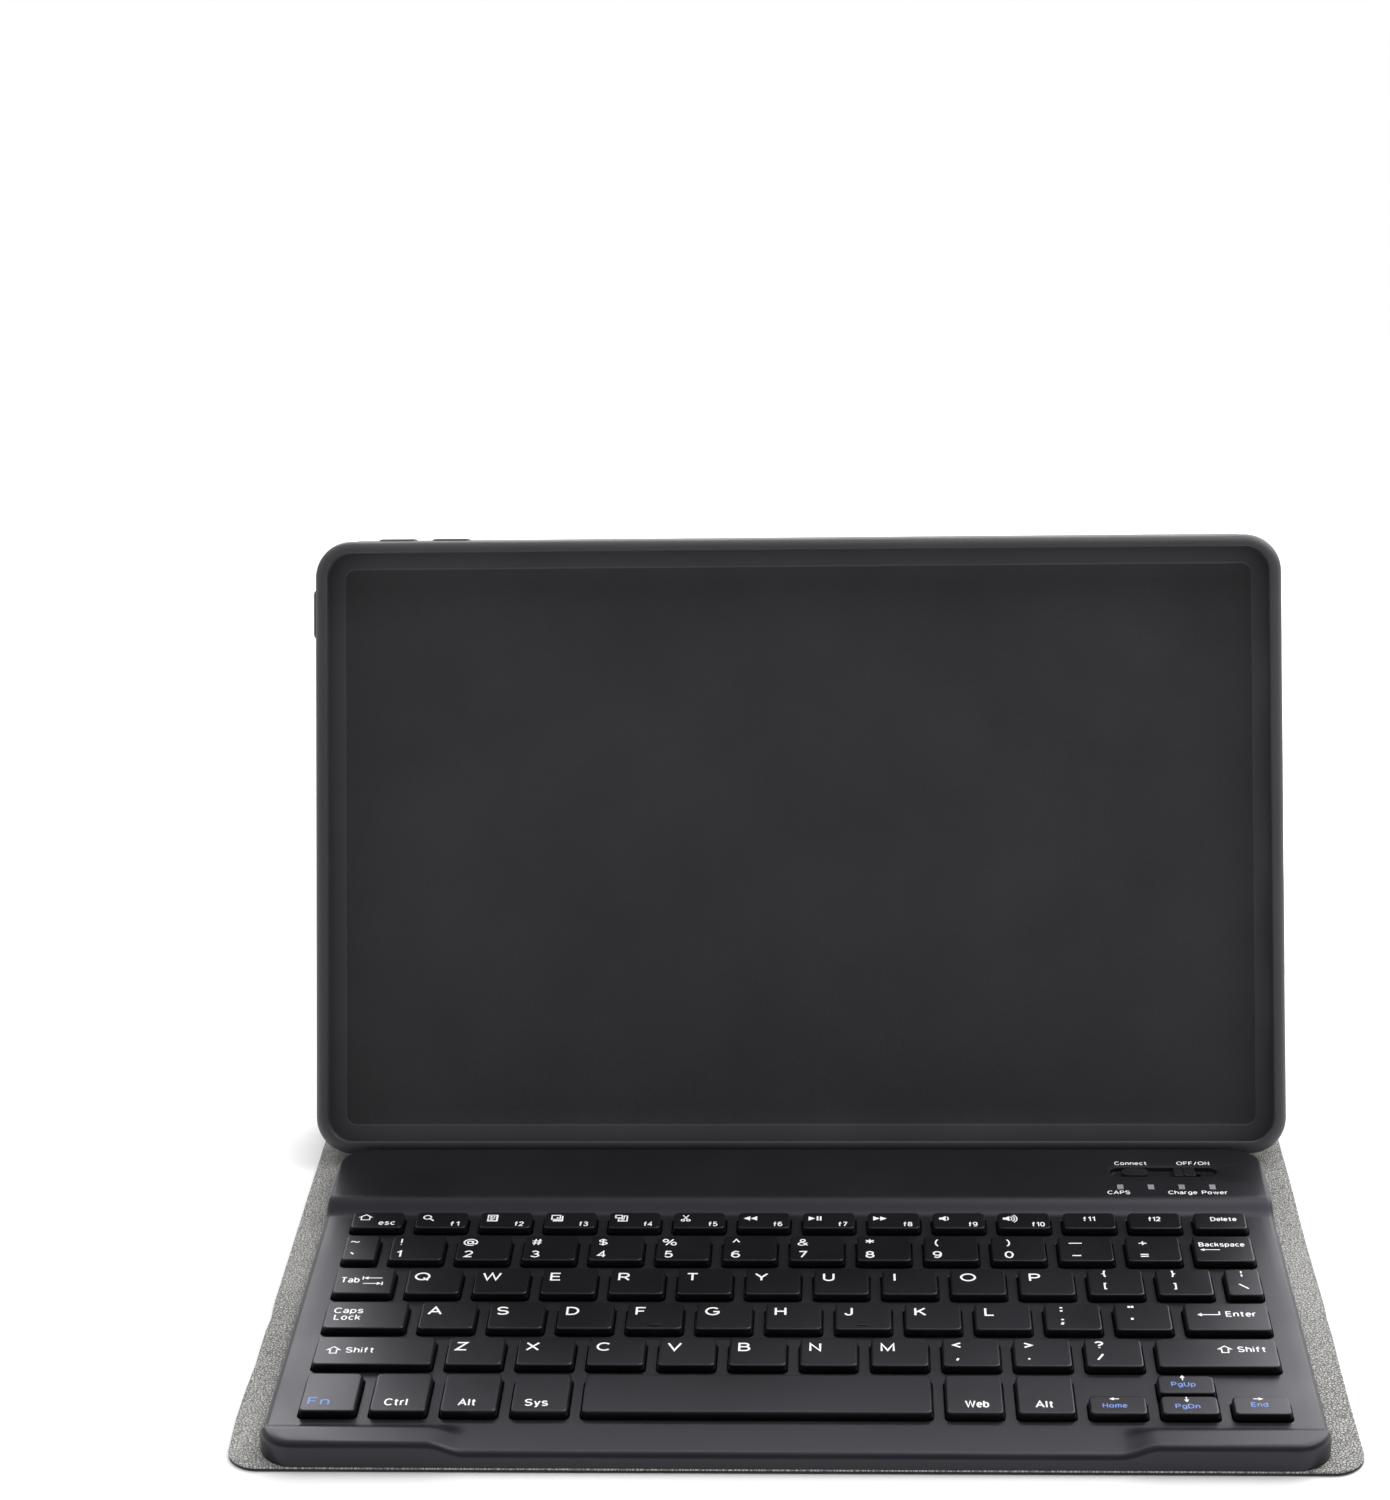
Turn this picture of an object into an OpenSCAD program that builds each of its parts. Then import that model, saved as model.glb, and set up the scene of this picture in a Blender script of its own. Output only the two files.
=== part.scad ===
// Folding keyboard case for an 11-inch tablet.
// A soft cover carries a keyboard on its base, and a moulded tray stands on a folding leg behind it.
// X runs across the case, +Y to the rear and +Z up. The origin is the middle of the base's underside.
// All sizes are in millimetres and the case is drawn open, with the tray leaning back.

/* [Tablet space] */
// Width of the space in the tray
tablet_w = 258.4; // [230:0.2:300]
// Height of the space in the tray
tablet_h = 163; // [150:0.5:190]
// Thickness of the space in the tray
tablet_t = 7.5; // [6:0.1:11]
// Corner radius of the space in the tray
tablet_r = 8; // [4:0.5:14]

/* [Tray] */
// Side wall of the tray
tray_wall = 2; // [1.2:0.1:4]
// Back wall of the tray
tray_back = 1.5; // [1:0.1:3]
// Thickness of the lip that holds the tablet in
lip_t = 1; // [0.6:0.1:2]
// How far the lip reaches in over the glass
lip_reach = 1.6; // [0.8:0.1:4]
// Rounding of the tray's outer edges
tray_edge_r = 3; // [1:0.25:4]
// How far the tray leans back from upright, in degrees
lean = 22; // [15:1:30]
// Height of the tray's lowest edge above the lining
tray_lift = 0.4; // [0.3:0.1:2]
// Gap between the keyboard's rear edge and the tray's foot
stand_gap = 0.8; // [0.5:0.1:2]
// Length of a volume button pad
button_pad_l = 10.3; // [6:0.1:14]
// Gap between the two volume button pads
button_pad_gap = 4.3; // [2:0.1:10]
// Length of the power button pad
power_pad_l = 12.8; // [6:0.1:16]
// Width of the button pads
button_pad_w = 4.5; // [3:0.1:6]
// How far the button pads stand out
button_pad_h = 0.6; // [0.3:0.1:1]
// Distance of the volume button pads from the tray's corner, along the top
button_pad_inset = 17.5; // [12:0.5:40]
// Distance of the power button pad from the tray's corner, down the side
power_pad_inset = 13.5; // [12:0.5:40]
// Length of a speaker opening in the tray's side
speaker_slot_l = 19; // [10:0.5:25]
// Length of the socket opening in the tray's side
socket_slot_l = 21; // [10:0.5:25]
// Height of the side openings
side_slot_h = 4.5; // [2:0.1:6]
// Distance of the speaker openings from the middle of the side
speaker_slot_at = 44; // [30:0.5:60]

/* [Cover] */
// How much narrower the cover is than the tray, on each side
cover_inset = 0.2; // [0:0.1:2]
// Skin and board of the cover together
cover_t = 0.7; // [0.5:0.05:2]
// Lining inside the cover
lining_t = 0.5; // [0.3:0.05:1.5]
// Corner radius of the base
base_corner_r = 8; // [2:0.5:15]
// Depth of the front panel of the base
front_panel_d = 64.5; // [40:0.5:90]
// Width of the crease between the two panels of the base
crease_w = 5; // [3:0.25:8]
// Skin that bridges the crease
crease_t = 0.4; // [0.2:0.05:0.5]
// Base that shows behind the keyboard
base_behind = 14; // [13:0.25:15]
// Free height between the keyboard and the closed tray
closed_gap = 3; // [2:0.25:5]
// Gap between the tray's lower edge and the spine when closed
spine_gap = 1.4; // [1.2:0.1:3]
// Gap between parts that fold past each other
fold_clear = 0.3; // [0.2:0.05:0.5]

/* [Closure flap] */
// How much narrower the edge strip and the flap are than the cover, on each side
flap_inset = 10; // [5:0.5:25]
// Length of the flap, from its fold to its free edge
flap_l = 38; // [25:0.5:45]
// Thickness of the flap
flap_t = 1.6; // [1.4:0.1:3]
// Corner radius of the flap
flap_corner_r = 8; // [2:0.5:15]
// Diameter of a flap magnet
magnet_d = 10; // [6:0.5:14]
// Thickness of a flap magnet
magnet_t = 0.6; // [0.4:0.05:0.7]
// Spacing of the flap magnets
magnet_pitch = 150; // [80:1:190]
// Distance of the magnets from the flap's free edge
magnet_inset = 11; // [8:0.5:20]
// Length of a steel keeper plate in the base
keeper_l = 36; // [15:1:50]
// Width of a keeper plate
keeper_w = 14; // [6:0.5:20]
// Thickness of a keeper plate
keeper_t = 0.3; // [0.2:0.05:0.4]

/* [Keyboard body] */
// Lining that shows beside the keyboard
board_side = 7.5; // [4:0.25:12]
// Front edge of the keyboard behind the front edge of the base
board_front = 0.6; // [0.4:0.1:4]
// Corner radius of the keyboard
board_r = 9; // [4:0.5:14]
// Height of the deck that the keys stand in
deck_h = 3.9; // [3.7:0.1:6]
// Height of the rear deck and the front corners
raised_h = 6.7; // [6:0.1:9]
// Depth of the rear deck
rear_deck_d = 29.7; // [26:0.5:35]
// Key field to the rear deck
rear_deck_gap = 2.9; // [1:0.1:6]
// Rounding of the keyboard's upper edges
board_edge_r = 1.2; // [0.5:0.1:1.4]
// Thickness of the keyboard's deck
deck_t = 1.2; // [0.8:0.1:1.4]
// Side wall of the keyboard
board_wall = 1.4; // [1:0.1:2.5]
// Floor of the keyboard
floor_t = 0.8; // [0.6:0.05:1.2]
// Flat depth of a raised front corner
lip_flat_d = 7; // [3:0.25:8]
// Depth of the slope behind a raised front corner
lip_slope_d = 3; // [1:0.25:4]
// Width of a raised front corner, with its slope
corner_w = 47.5; // [30:0.5:60]
// Width of the slope up to a raised front corner
scoop_slope_w = 6.5; // [2:0.5:15]

/* [Keys] */
// Deck beside the key field
field_side = 6.35; // [5.5:0.05:8]
// Front of the key field behind the front edge of the keyboard
field_front = 12.2; // [11.5:0.1:16]
// Letter keys that would fill the key field from side to side
field_units = 13.78; // [13.6:0.02:14]
// Depth of a letter row's cell
row_pitch = 16.7; // [15:0.1:18]
// Depth of the function row's cell
function_row_d = 12.2; // [11:0.1:14]
// Depth of the front row's cell
front_row_d = 20.6; // [19:0.1:22]
// Cell of the narrow first key of the number row, in letter keys
narrow_units = 0.706; // [0.65:0.005:0.8]
// Cell of the tab key, in letter keys
tab_units = 1.07; // [0.95:0.005:1.2]
// Cell of the caps lock key, in letter keys
caps_units = 1.382; // [1.2:0.005:1.5]
// Cell of the left shift key, in letter keys
shift_units = 1.888; // [1.7:0.005:2.1]
// Cell of the keys beside the space bar, in letter keys
bottom_units = 0.976; // [0.9:0.005:1]
// Gap between neighbouring keys, side by side, at their tops
key_gap_x = 3.65; // [3.2:0.05:4.5]
// Gap between neighbouring keys, front to back, at their tops
key_gap_y = 4.2; // [3.6:0.05:5]
// Gap between the tops of the two stacked arrow keys
arrow_gap = 1.5; // [1.4:0.05:2.5]
// How far a key's sides spread from its top to its foot
key_spread_w = 0.45; // [0.2:0.05:0.6]
// Corner radius of a key
key_corner_r = 1.3; // [0.6:0.1:2]
// Corner radius inside a key cap
key_inner_r = 0.3; // [0.1:0.05:0.5]
// Bevel round a key's top
key_bevel = 0.35; // [0.15:0.05:0.6]
// Height of a key above the deck
key_h = 2; // [1.8:0.1:3]
// Wall and top of a key cap
key_wall = 1; // [0.7:0.05:1.3]
// Travel of a key
key_travel = 1.5; // [1:0.1:1.6]
// Gap under a key that is pressed down
key_floor_gap = 0.25; // [0.1:0.05:0.4]
// Gap between a key and its opening
key_clear = 0.45; // [0.3:0.05:0.5]
// Corner cut of a key opening
opening_chamfer = 1.5; // [0.5:0.1:2.5]

/* [Keyboard inside] */
// Steel plate under the keys
plate_t = 0.3; // [0.2:0.05:0.5]
// Edge of the key field that the plate leaves free
plate_inset = 0.5; // [0.2:0.1:2]
// Switch membrane
membrane_t = 0.2; // [0.1:0.05:0.3]
// Edge of the key field that the membrane leaves free
membrane_inset = 1; // [0.2:0.1:3]
// Foot radius of a rubber dome
dome_r = 3; // [2:0.1:3.2]
// Top radius of a rubber dome
dome_top_r = 1.5; // [1:0.1:2]
// Running clearance of small moving and fitted pieces
fit_clear = 0.1; // [0.05:0.01:0.2]
// Screw shank diameter
screw_d = 1.4; // [1:0.1:1.6]
// Screw head diameter
screw_head_d = 3; // [2.4:0.1:3.5]
// Screw head height
screw_head_h = 0.4; // [0.3:0.05:0.5]
// Diameter of a screw boss
boss_d = 4; // [3:0.1:5]
// Outer screws from the sides of the keyboard
screw_side = 7.5; // [6.5:0.25:9]
// Front screws behind the front edge
screw_front = 5.5; // [4.5:0.1:7]
// Rear screws before the rear edge
screw_rear = 4.5; // [4:0.1:7]
// Gap between the control board and the screw boss beside it
pcb_gap = 2; // [0.5:0.1:4]
// Depth of the control board
pcb_d = 19; // [17:0.5:20]
// Thickness of the control board
pcb_t = 1; // [0.6:0.1:1.2]
// Left end of the control board from the middle of the controls
pcb_left = 41; // [38:0.5:44]
// Gap between the battery cell and the rear wall
battery_gap = 1; // [0.5:0.1:3]
// Gap between the battery cell and the control board
battery_side_gap = 9.6; // [2:0.1:20]
// Depth of the battery cell
battery_d = 20; // [15:0.5:21]
// Thickness of the battery cell
battery_t = 3.2; // [2:0.1:3.6]

/* [Controls] */
// Middle of the control group from the right side of the keyboard
controls_side = 26.9; // [24:0.1:32]
// Length of the control recess
recess_l = 28; // [26:0.5:32]
// Width of the control recess
recess_w = 5; // [4:0.1:6]
// Depth of the control recess
recess_depth = 1.6; // [1:0.1:2]
// Middle of the recess before the rear edge
recess_rear = 13.7; // [12:0.1:16]
// Connect button from the middle of the recess
connect_offset = 7.5; // [6:0.1:9]
// Length of the connect button
connect_l = 7; // [5:0.1:8]
// Travel of the connect button
connect_travel = 0.5; // [0.3:0.05:0.6]
// Power switch from the middle of the recess, at the middle of its travel
switch_offset = 7; // [6:0.1:9]
// Length of the power switch knob
switch_l = 5.6; // [4:0.1:7]
// Travel of the power switch
switch_travel = 3; // [2:0.1:4]
// Width of the ridge on the power switch knob
ridge_w = 0.6; // [0.3:0.1:1]
// Height of the ridge on the power switch knob
ridge_h = 0.3; // [0.2:0.05:0.5]
// Side of the square stems under the two controls
stem_w = 2; // [1.5:0.1:2.5]
// Spacing of the indicator windows
light_pitch = 8; // [6:0.1:9]
// Width of an indicator window
light_w = 1.6; // [1:0.1:2.5]
// Length of an indicator window's light pipe
light_l = 2.4; // [1.4:0.1:3]
// Depth of an indicator window
light_d = 2.5; // [1.5:0.1:3]
// Middle of the indicator windows before the rear edge
light_rear = 22.1; // [20:0.1:24]
// Width of the charging socket
charge_w = 7.5; // [6:0.1:9]
// Height of the charging socket
charge_h = 2.6; // [2:0.1:3.2]
// Depth of the charging socket
charge_d = 5; // [4:0.1:7]
// Wall of the charging socket
charge_wall = 0.3; // [0.2:0.05:0.5]
// Charging socket from the middle of the controls
charge_offset = 24; // [15:0.5:28]

/* [Hidden] */
$fn = 48;
corner_steps = 2;
// How far a cut runs past the faces that it opens
over = 1;
panel_t = cover_t + lining_t;

tray_w = tablet_w + 2*tray_wall;
tray_h = tablet_h + 2*tray_wall;
tray_t = tray_back + tablet_t + lip_t;
tray_r = tablet_r + tray_wall;
cover_w = tray_w - 2*cover_inset;
flap_w = cover_w - 2*flap_inset;
board_w = cover_w - 2*board_side;
field_w = board_w - 2*field_side;
key_pitch = field_w/field_units;
scoop_half_w = board_w/2 - corner_w;

field_d = front_row_d + 4*row_pitch + function_row_d;
board_d = field_front + field_d + rear_deck_gap + rear_deck_d;
base_d = board_front + board_d + base_behind;
front_y = -base_d/2;
hinge_y = base_d/2;
board_y = front_y + board_front;
board_rear_y = board_y + board_d;
board_z = panel_t;

// Rest places of the folds in the side view, as Y and Z
spine_l = panel_t + raised_h + closed_gap + tray_t;
spine_axis = [hinge_y, panel_t/2];
leg_axis = spine_axis + [spine_l, 0];
tray_angle = 90 - lean;
up_tray = [cos(tray_angle), sin(tray_angle)];
behind_tray = [sin(tray_angle), -cos(tray_angle)];
tray_foot = [board_rear_y + stand_gap + tray_t*cos(lean), panel_t + tray_lift];
panel_foot = tray_foot + behind_tray*panel_t/2;
foot_to_leg = panel_foot - leg_axis;
// Height of the tray's fold up the tray, where both folds reach the leg when the case is shut
fold_up = (foot_to_leg*foot_to_leg - spine_gap*spine_gap)/(2*spine_gap - 2*(foot_to_leg*up_tray));
leg_l = fold_up + spine_gap;
tray_axis = panel_foot + up_tray*fold_up;
leg_run = tray_axis - leg_axis;
leg_angle = atan2(leg_run[1], leg_run[0]);
// The spine stops where the leaning leg clears it
leg_edge = panel_t/2/tan(90 - leg_angle/2) + fold_clear;

// Flap fold beyond the tray's top edge, and out from the panel behind it
flap_over = fold_clear + panel_t/2 + fold_clear;
flap_out = panel_t/2 + fold_clear + flap_t/2;
panel_h = tray_h - fold_up;
flap_axis = tray_axis + up_tray*(panel_h + flap_over) + behind_tray*flap_out;
edge_l = panel_t/2 + spine_l + flap_out + fold_clear + flap_t/2;
flap_turn_axis = flap_axis - up_tray*edge_l;
fold_edge = panel_t/2 + fold_clear;
flap_edge = flap_t/2 + fold_clear;

// Levels in the keyboard, above its own underside
plate_z = floor_t;
membrane_z = plate_z + plate_t;
dome_z = membrane_z + membrane_t;
key_foot_z = dome_z + key_travel + key_floor_gap;
key_top_z = deck_h + key_h;
under_deck_z = deck_h - deck_t;
under_rear_z = raised_h - deck_t;
screw_l = under_deck_z;
recess_z = raised_h - recess_depth;
pcb_top_z = floor_t + pcb_t;
rear_deck_y = board_rear_y - rear_deck_d;
field_y = board_y + field_front;
controls_y = board_rear_y - recess_rear;
lights_y = board_rear_y - light_rear;
controls_x = board_w/2 - controls_side;
switch_x = controls_x + switch_offset;
connect_x = controls_x - connect_offset;
charge_x = controls_x - charge_offset;
pcb_x = controls_x - pcb_left;
pcb_y = board_rear_y - board_wall - fit_clear - pcb_d;
screw_x = board_w/2 - screw_side;
pcb_l = screw_x - boss_d/2 - pcb_gap - pcb_x;
battery_l = 2*(pcb_x - battery_side_gap);
screw_spots = concat(
    [for (x = [-1, 0, 1]) [x*screw_x, board_y + screw_front]],
    [for (x = [-1, 1]) [x*screw_x, board_rear_y - screw_rear]]);

// Key rows from the rear: front edge, depth and the cell widths from left to right
function repeated(value, count) = [for (i = [1:count]) value];
function total(list, count) = count <= 0 ? 0 : list[count - 1] + total(list, count - 1);
function letter_row(first, count) =
    key_pitch*concat([first], repeated(1, count), [field_units - first - count]);
letter_rows_y = field_y + front_row_d;
function_row = 0;
number_row = 1;
tab_row = 2;
caps_row = 3;
shift_row = 4;
space_row = 5;
row_front = concat([for (r = [4:-1:0]) letter_rows_y + r*row_pitch], [field_y]);
row_depth = concat([function_row_d], repeated(row_pitch, 4), [front_row_d]);
cells = [
    repeated(field_w/14, 14),
    letter_row(narrow_units, 12),
    letter_row(tab_units, 12),
    letter_row(caps_units, 11),
    letter_row(shift_units, 10),
    concat(repeated(bottom_units*key_pitch, 4), [(field_units - 9*bottom_units)*key_pitch],
           repeated(bottom_units*key_pitch, 5))];
// Parts of the front row that arrow keys fill: 0 is a whole key, -1 the front half, 1 the rear half
arrow_left = 7;
arrow_stack = 8;
arrow_right = 9;

skin_colour = [0.2, 0.2, 0.23];
lining_colour = [0.55, 0.54, 0.51];
tray_colour = [0.26, 0.26, 0.28];
board_colour = [0.16, 0.16, 0.18];
key_colour = [0.09, 0.09, 0.1];
steel_colour = [0.7, 0.7, 0.72];

// Flat outline from y0 to y1, with its own corner radius at each end
module outline(w, y0, y1, r0, r1) {
    ends = [[y0, r0, 1], [y1, r1, -1]];
    translate([-w/2, y0 + r0]) square([w, y1 - y0 - r0 - r1]);
    for (e = ends) if (e[1] > 0) {
        translate([-w/2 + e[1], min(e[0], e[0] + e[2]*e[1])]) square([w - 2*e[1], e[1]]);
        for (x = [-1, 1]) translate([x*(w/2 - e[1]), e[0] + e[2]*e[1]]) circle(e[1]);
    }
}

// A sheet of the cover in its fold's own frame, with the fold along X at Y = 0
module at_fold(axis, angle) {
    translate([0, axis[0], axis[1]]) rotate([angle, 0, 0]) children();
}
module sheet(w, y0, y1, z0, z1, r0 = 0, r1 = 0) {
    translate([0, 0, z0]) linear_extrude(z1 - z0) outline(w, y0, y1, r0, r1);
}
module bead(w, t) {
    rotate([0, 90, 0]) cylinder(d = t, h = w, center = true);
}
module half_space(z0, z1, reach, w) {
    translate([-w/2, -reach, z0]) cube([w, 2*reach, z1 - z0]);
}

// Cover

module base_front_cover() {
    color(skin_colour)
        sheet(cover_w, front_y, front_y + front_panel_d, 0, cover_t, base_corner_r, 0);
}
module base_rear_cover() {
    color(skin_colour)
        sheet(cover_w, front_y + front_panel_d + crease_w, hinge_y - fold_edge, 0, cover_t);
}
module base_crease_strip() {
    crease_y = front_y + front_panel_d;
    color(skin_colour) sheet(cover_w, crease_y, crease_y + crease_w, cover_t - crease_t, cover_t);
}
module keepers(clear) {
    y = front_y + board_front + lip_flat_d + keeper_w/2;
    for (x = [-1, 1]) translate([x*magnet_pitch/2, y, cover_t])
        translate([-keeper_l/2 - clear, -keeper_w/2 - clear, 0])
            cube([keeper_l + 2*clear, keeper_w + 2*clear, keeper_t]);
}
module base_lining() {
    color(lining_colour) difference() {
        sheet(cover_w, front_y, hinge_y - fold_edge, cover_t, panel_t, base_corner_r, 0);
        keepers(fit_clear);
    }
}
module base_keeper_plates() {
    color(steel_colour) keepers(0);
}

// A fold sheet carries a round bead on its own fold, split between its skin and its lining
module fold_skin(axis, angle, length, far_edge) {
    color(skin_colour) at_fold(axis, angle) {
        sheet(cover_w, 0, length - far_edge, -panel_t/2, cover_t - panel_t/2);
        intersection() {
            bead(cover_w, panel_t);
            half_space(-panel_t/2, cover_t - panel_t/2, panel_t, cover_w);
        }
    }
}
module fold_lining(axis, angle, length, far_edge, top) {
    color(lining_colour) at_fold(axis, angle) {
        sheet(cover_w, 0, length - far_edge, cover_t - panel_t/2, top);
        intersection() {
            bead(cover_w, panel_t);
            half_space(cover_t - panel_t/2, top, panel_t, cover_w);
        }
    }
}
module spine_cover() { fold_skin(spine_axis, 0, spine_l, leg_edge); }
module spine_lining() { fold_lining(spine_axis, 0, spine_l, leg_edge, panel_t/2); }
module leg_cover() { fold_skin(leg_axis, leg_angle, leg_l, fold_edge); }
// The leg's lining is thinner, because it lies against the back of the tray in the closed case
module leg_lining() { fold_lining(leg_axis, leg_angle, leg_l, fold_edge, panel_t/2 - fit_clear); }

module tray_panel() {
    color(skin_colour) at_fold(tray_axis, tray_angle) {
        sheet(cover_w, 0, panel_h, -panel_t/2, panel_t/2, 0, tray_r);
        bead(cover_w, panel_t);
    }
}

// Tray, in the panel's frame: Y up the tray and Z towards the tablet

module rounded_slab(w, h, t, r, edge) {
    hull() for (x = [-1, 1], y = [-1, 1])
        translate([x*(w/2 - r), y*(h/2 - r), 0]) rotate_extrude($fn = 32) {
            translate([0, edge]) square([r, t - 2*edge]);
            square([r - edge, t]);
            for (z = [edge, t - edge]) translate([r - edge, z]) circle(edge, $fn = 16);
        }
}
module side_slot(at, length) {
    slot_r = side_slot_h/2;
    translate([tray_w/2 - tray_wall/2, at, tray_back + tablet_t/2]) rotate([0, 90, 0])
        linear_extrude(2*tray_wall + 2*tray_edge_r, center = true) {
            square([side_slot_h, length - side_slot_h], center = true);
            for (y = [-1, 1]) translate([0, y*(length/2 - slot_r)]) circle(slot_r);
        }
}
module button_pad(length) {
    translate([0, 0, tray_t/2]) linear_extrude(button_pad_w, center = true)
        polygon([[-length/2, -tray_wall/2], [-length/2 + button_pad_h, button_pad_h],
                 [length/2 - button_pad_h, button_pad_h], [length/2, -tray_wall/2]]);
}
module tablet_tray() {
    pad_x = -tray_w/2 + button_pad_inset + button_pad_l/2;
    color(tray_colour) at_fold(tray_axis, tray_angle)
        translate([0, tray_h/2 - fold_up, panel_t/2]) {
            difference() {
                rounded_slab(tray_w, tray_h, tray_t, tray_r, tray_edge_r);
                translate([0, 0, tray_back]) linear_extrude(tablet_t)
                    outline(tablet_w, -tablet_h/2, tablet_h/2, tablet_r, tablet_r);
                translate([0, 0, tray_back]) linear_extrude(tray_t)
                    outline(tablet_w - 2*lip_reach, -tablet_h/2 + lip_reach, tablet_h/2 - lip_reach,
                            tablet_r - lip_reach, tablet_r - lip_reach);
                side_slot(0, socket_slot_l);
                for (y = [-1, 1]) side_slot(y*speaker_slot_at, speaker_slot_l);
            }
            for (i = [0, 1]) translate([pad_x + i*(button_pad_l + button_pad_gap), tray_h/2, 0])
                button_pad(button_pad_l);
            translate([-tray_w/2, tray_h/2 - power_pad_inset - power_pad_l/2, 0]) rotate([0, 0, 90])
                button_pad(power_pad_l);
        }
}

// Flap, folded back against the panel behind the tray

module edge_strip() {
    color(skin_colour) at_fold(flap_axis, tray_angle + 180) {
        sheet(flap_w, 0, edge_l - flap_edge, -panel_t/2, panel_t/2);
        bead(flap_w, panel_t);
    }
}
module flap_layer(z0, z1) {
    sheet(flap_w, 0, flap_l, z0, z1, 0, flap_corner_r);
    intersection() {
        bead(flap_w, flap_t);
        half_space(z0, z1, flap_t, flap_w);
    }
}
module magnets(clear) {
    for (x = [-1, 1]) translate([x*magnet_pitch/2, flap_l - magnet_inset, 0])
        cylinder(d = magnet_d + 2*clear, h = magnet_t);
}
module flap_cover() {
    color(skin_colour) at_fold(flap_turn_axis, tray_angle + 180) flap_layer(-flap_t/2, 0);
}
module flap_lining() {
    color(lining_colour) at_fold(flap_turn_axis, tray_angle + 180) difference() {
        flap_layer(0, flap_t/2);
        magnets(fit_clear);
    }
}
module flap_magnets() {
    color(steel_colour) at_fold(flap_turn_axis, tray_angle + 180) magnets(0);
}

// Keys

function corner_ring(w, d, r, z) = [
    for (c = [[1, 1, 0], [-1, 1, 90], [-1, -1, 180], [1, -1, 270]], i = [0:corner_steps])
        let (a = c[2] + 90*i/corner_steps)
            [c[0]*(w/2 - r) + r*cos(a), c[1]*(d/2 - r) + r*sin(a), z]];
module loft(rings) {
    n = len(rings[0]);
    bands = [for (k = [0:len(rings) - 2], i = [0:n - 1])
        let (j = (i + 1)%n) [k*n + i, (k + 1)*n + i, (k + 1)*n + j, k*n + j]];
    first = [for (i = [0:n - 1]) i];
    last = [for (i = [n - 1:-1:0]) (len(rings) - 1)*n + i];
    polyhedron([for (r = rings) each r], concat([first], bands, [last]));
}
// A cap as a shell with its foot open, given the size of its top
module cap(w, d) {
    foot_w = w + 2*key_spread_w;
    foot_d = d + 2*key_spread_w;
    edge = key_corner_r - key_bevel;
    loft([
        corner_ring(w - 2*key_wall, d - 2*key_wall, key_inner_r, key_top_z - key_wall),
        corner_ring(foot_w - 2*key_wall, foot_d - 2*key_wall, key_inner_r, key_foot_z),
        corner_ring(foot_w, foot_d, key_corner_r, key_foot_z),
        corner_ring(w + 2*key_bevel*key_spread_w/key_h, d + 2*key_bevel*key_spread_w/key_h,
                    key_corner_r, key_top_z - key_bevel),
        corner_ring(w - 2*key_bevel, d - 2*key_bevel, edge, key_top_z)]);
}
function key_w(row, i) = cells[row][i] - key_gap_x;
function key_x(row, i) = -field_w/2 + total(cells[row], i) + cells[row][i]/2;
function key_d(row, half) = half == 0 ? row_depth[row] - key_gap_y
                                      : (row_depth[row] - key_gap_y - arrow_gap)/2;
function key_y(row, half) = row_front[row] + row_depth[row]/2 + half*(key_d(row, half) + arrow_gap)/2;
module key(row, i, half = 0) {
    color(key_colour) translate([key_x(row, i), key_y(row, half), board_z])
        cap(key_w(row, i), key_d(row, half));
}
module keys(row, first, last) {
    for (i = [first:last]) key(row, i);
}
// Every key of the board, as row, place in the row and half
key_places = concat(
    [for (r = [function_row:shift_row], i = [0:len(cells[r]) - 1]) [r, i, 0]],
    [for (i = [0:arrow_left - 1]) [space_row, i, 0]],
    [[space_row, arrow_left, -1], [space_row, arrow_stack, -1],
     [space_row, arrow_stack, 1], [space_row, arrow_right, -1]]);
// The stacked arrow keys share one opening
opening_places = [for (k = key_places) if (!(k[1] == arrow_stack && k[2] == 1)) k];
module key_opening(k) {
    shared = k[0] == space_row && k[1] == arrow_stack;
    half = shared ? 0 : k[2];
    w = key_w(k[0], k[1])/2 + key_spread_w + key_clear;
    d = key_d(k[0], half)/2 + key_spread_w + key_clear;
    c = opening_chamfer;
    translate([key_x(k[0], k[1]), key_y(k[0], half)])
        polygon([[-w + c, -d], [w - c, -d], [w, -d + c], [w, d - c],
                 [w - c, d], [-w + c, d], [-w, d - c], [-w, -d + c]]);
}

// Keyboard body, from its own underside up

module board_outline(inset) {
    outline(board_w - 2*inset, board_y + inset, board_rear_y - inset, board_r - inset, board_r - inset);
}
module board_block(h) {
    translate([0, (board_y + board_rear_y)/2, -board_edge_r])
        rounded_slab(board_w, board_d, h + board_edge_r, board_r, board_edge_r);
}
module raised_corner(side) {
    lip = [[0, 0], [lip_flat_d + lip_slope_d, 0], [lip_flat_d + lip_slope_d, deck_h],
           [lip_flat_d, raised_h], [0, raised_h]];
    reach = board_w/2;
    intersection() {
        translate([side > 0 ? 0 : -reach, board_y, 0]) rotate([90, 0, 90])
            linear_extrude(reach) polygon(lip);
        translate([0, board_y + lip_flat_d + lip_slope_d, 0]) rotate([90, 0, 0])
            linear_extrude(lip_flat_d + lip_slope_d)
                polygon([[side*scoop_half_w, deck_h], [side*(scoop_half_w + scoop_slope_w), raised_h],
                         [side*reach, raised_h], [side*reach, 0], [side*scoop_half_w, 0]]);
    }
}
module board_shape() {
    intersection() {
        board_block(raised_h);
        union() {
            translate([-board_w/2, board_y, 0]) cube([board_w, board_d, deck_h]);
            translate([-board_w/2, rear_deck_y, 0]) cube([board_w, rear_deck_d, raised_h]);
            for (side = [-1, 1]) raised_corner(side);
        }
    }
}
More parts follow.
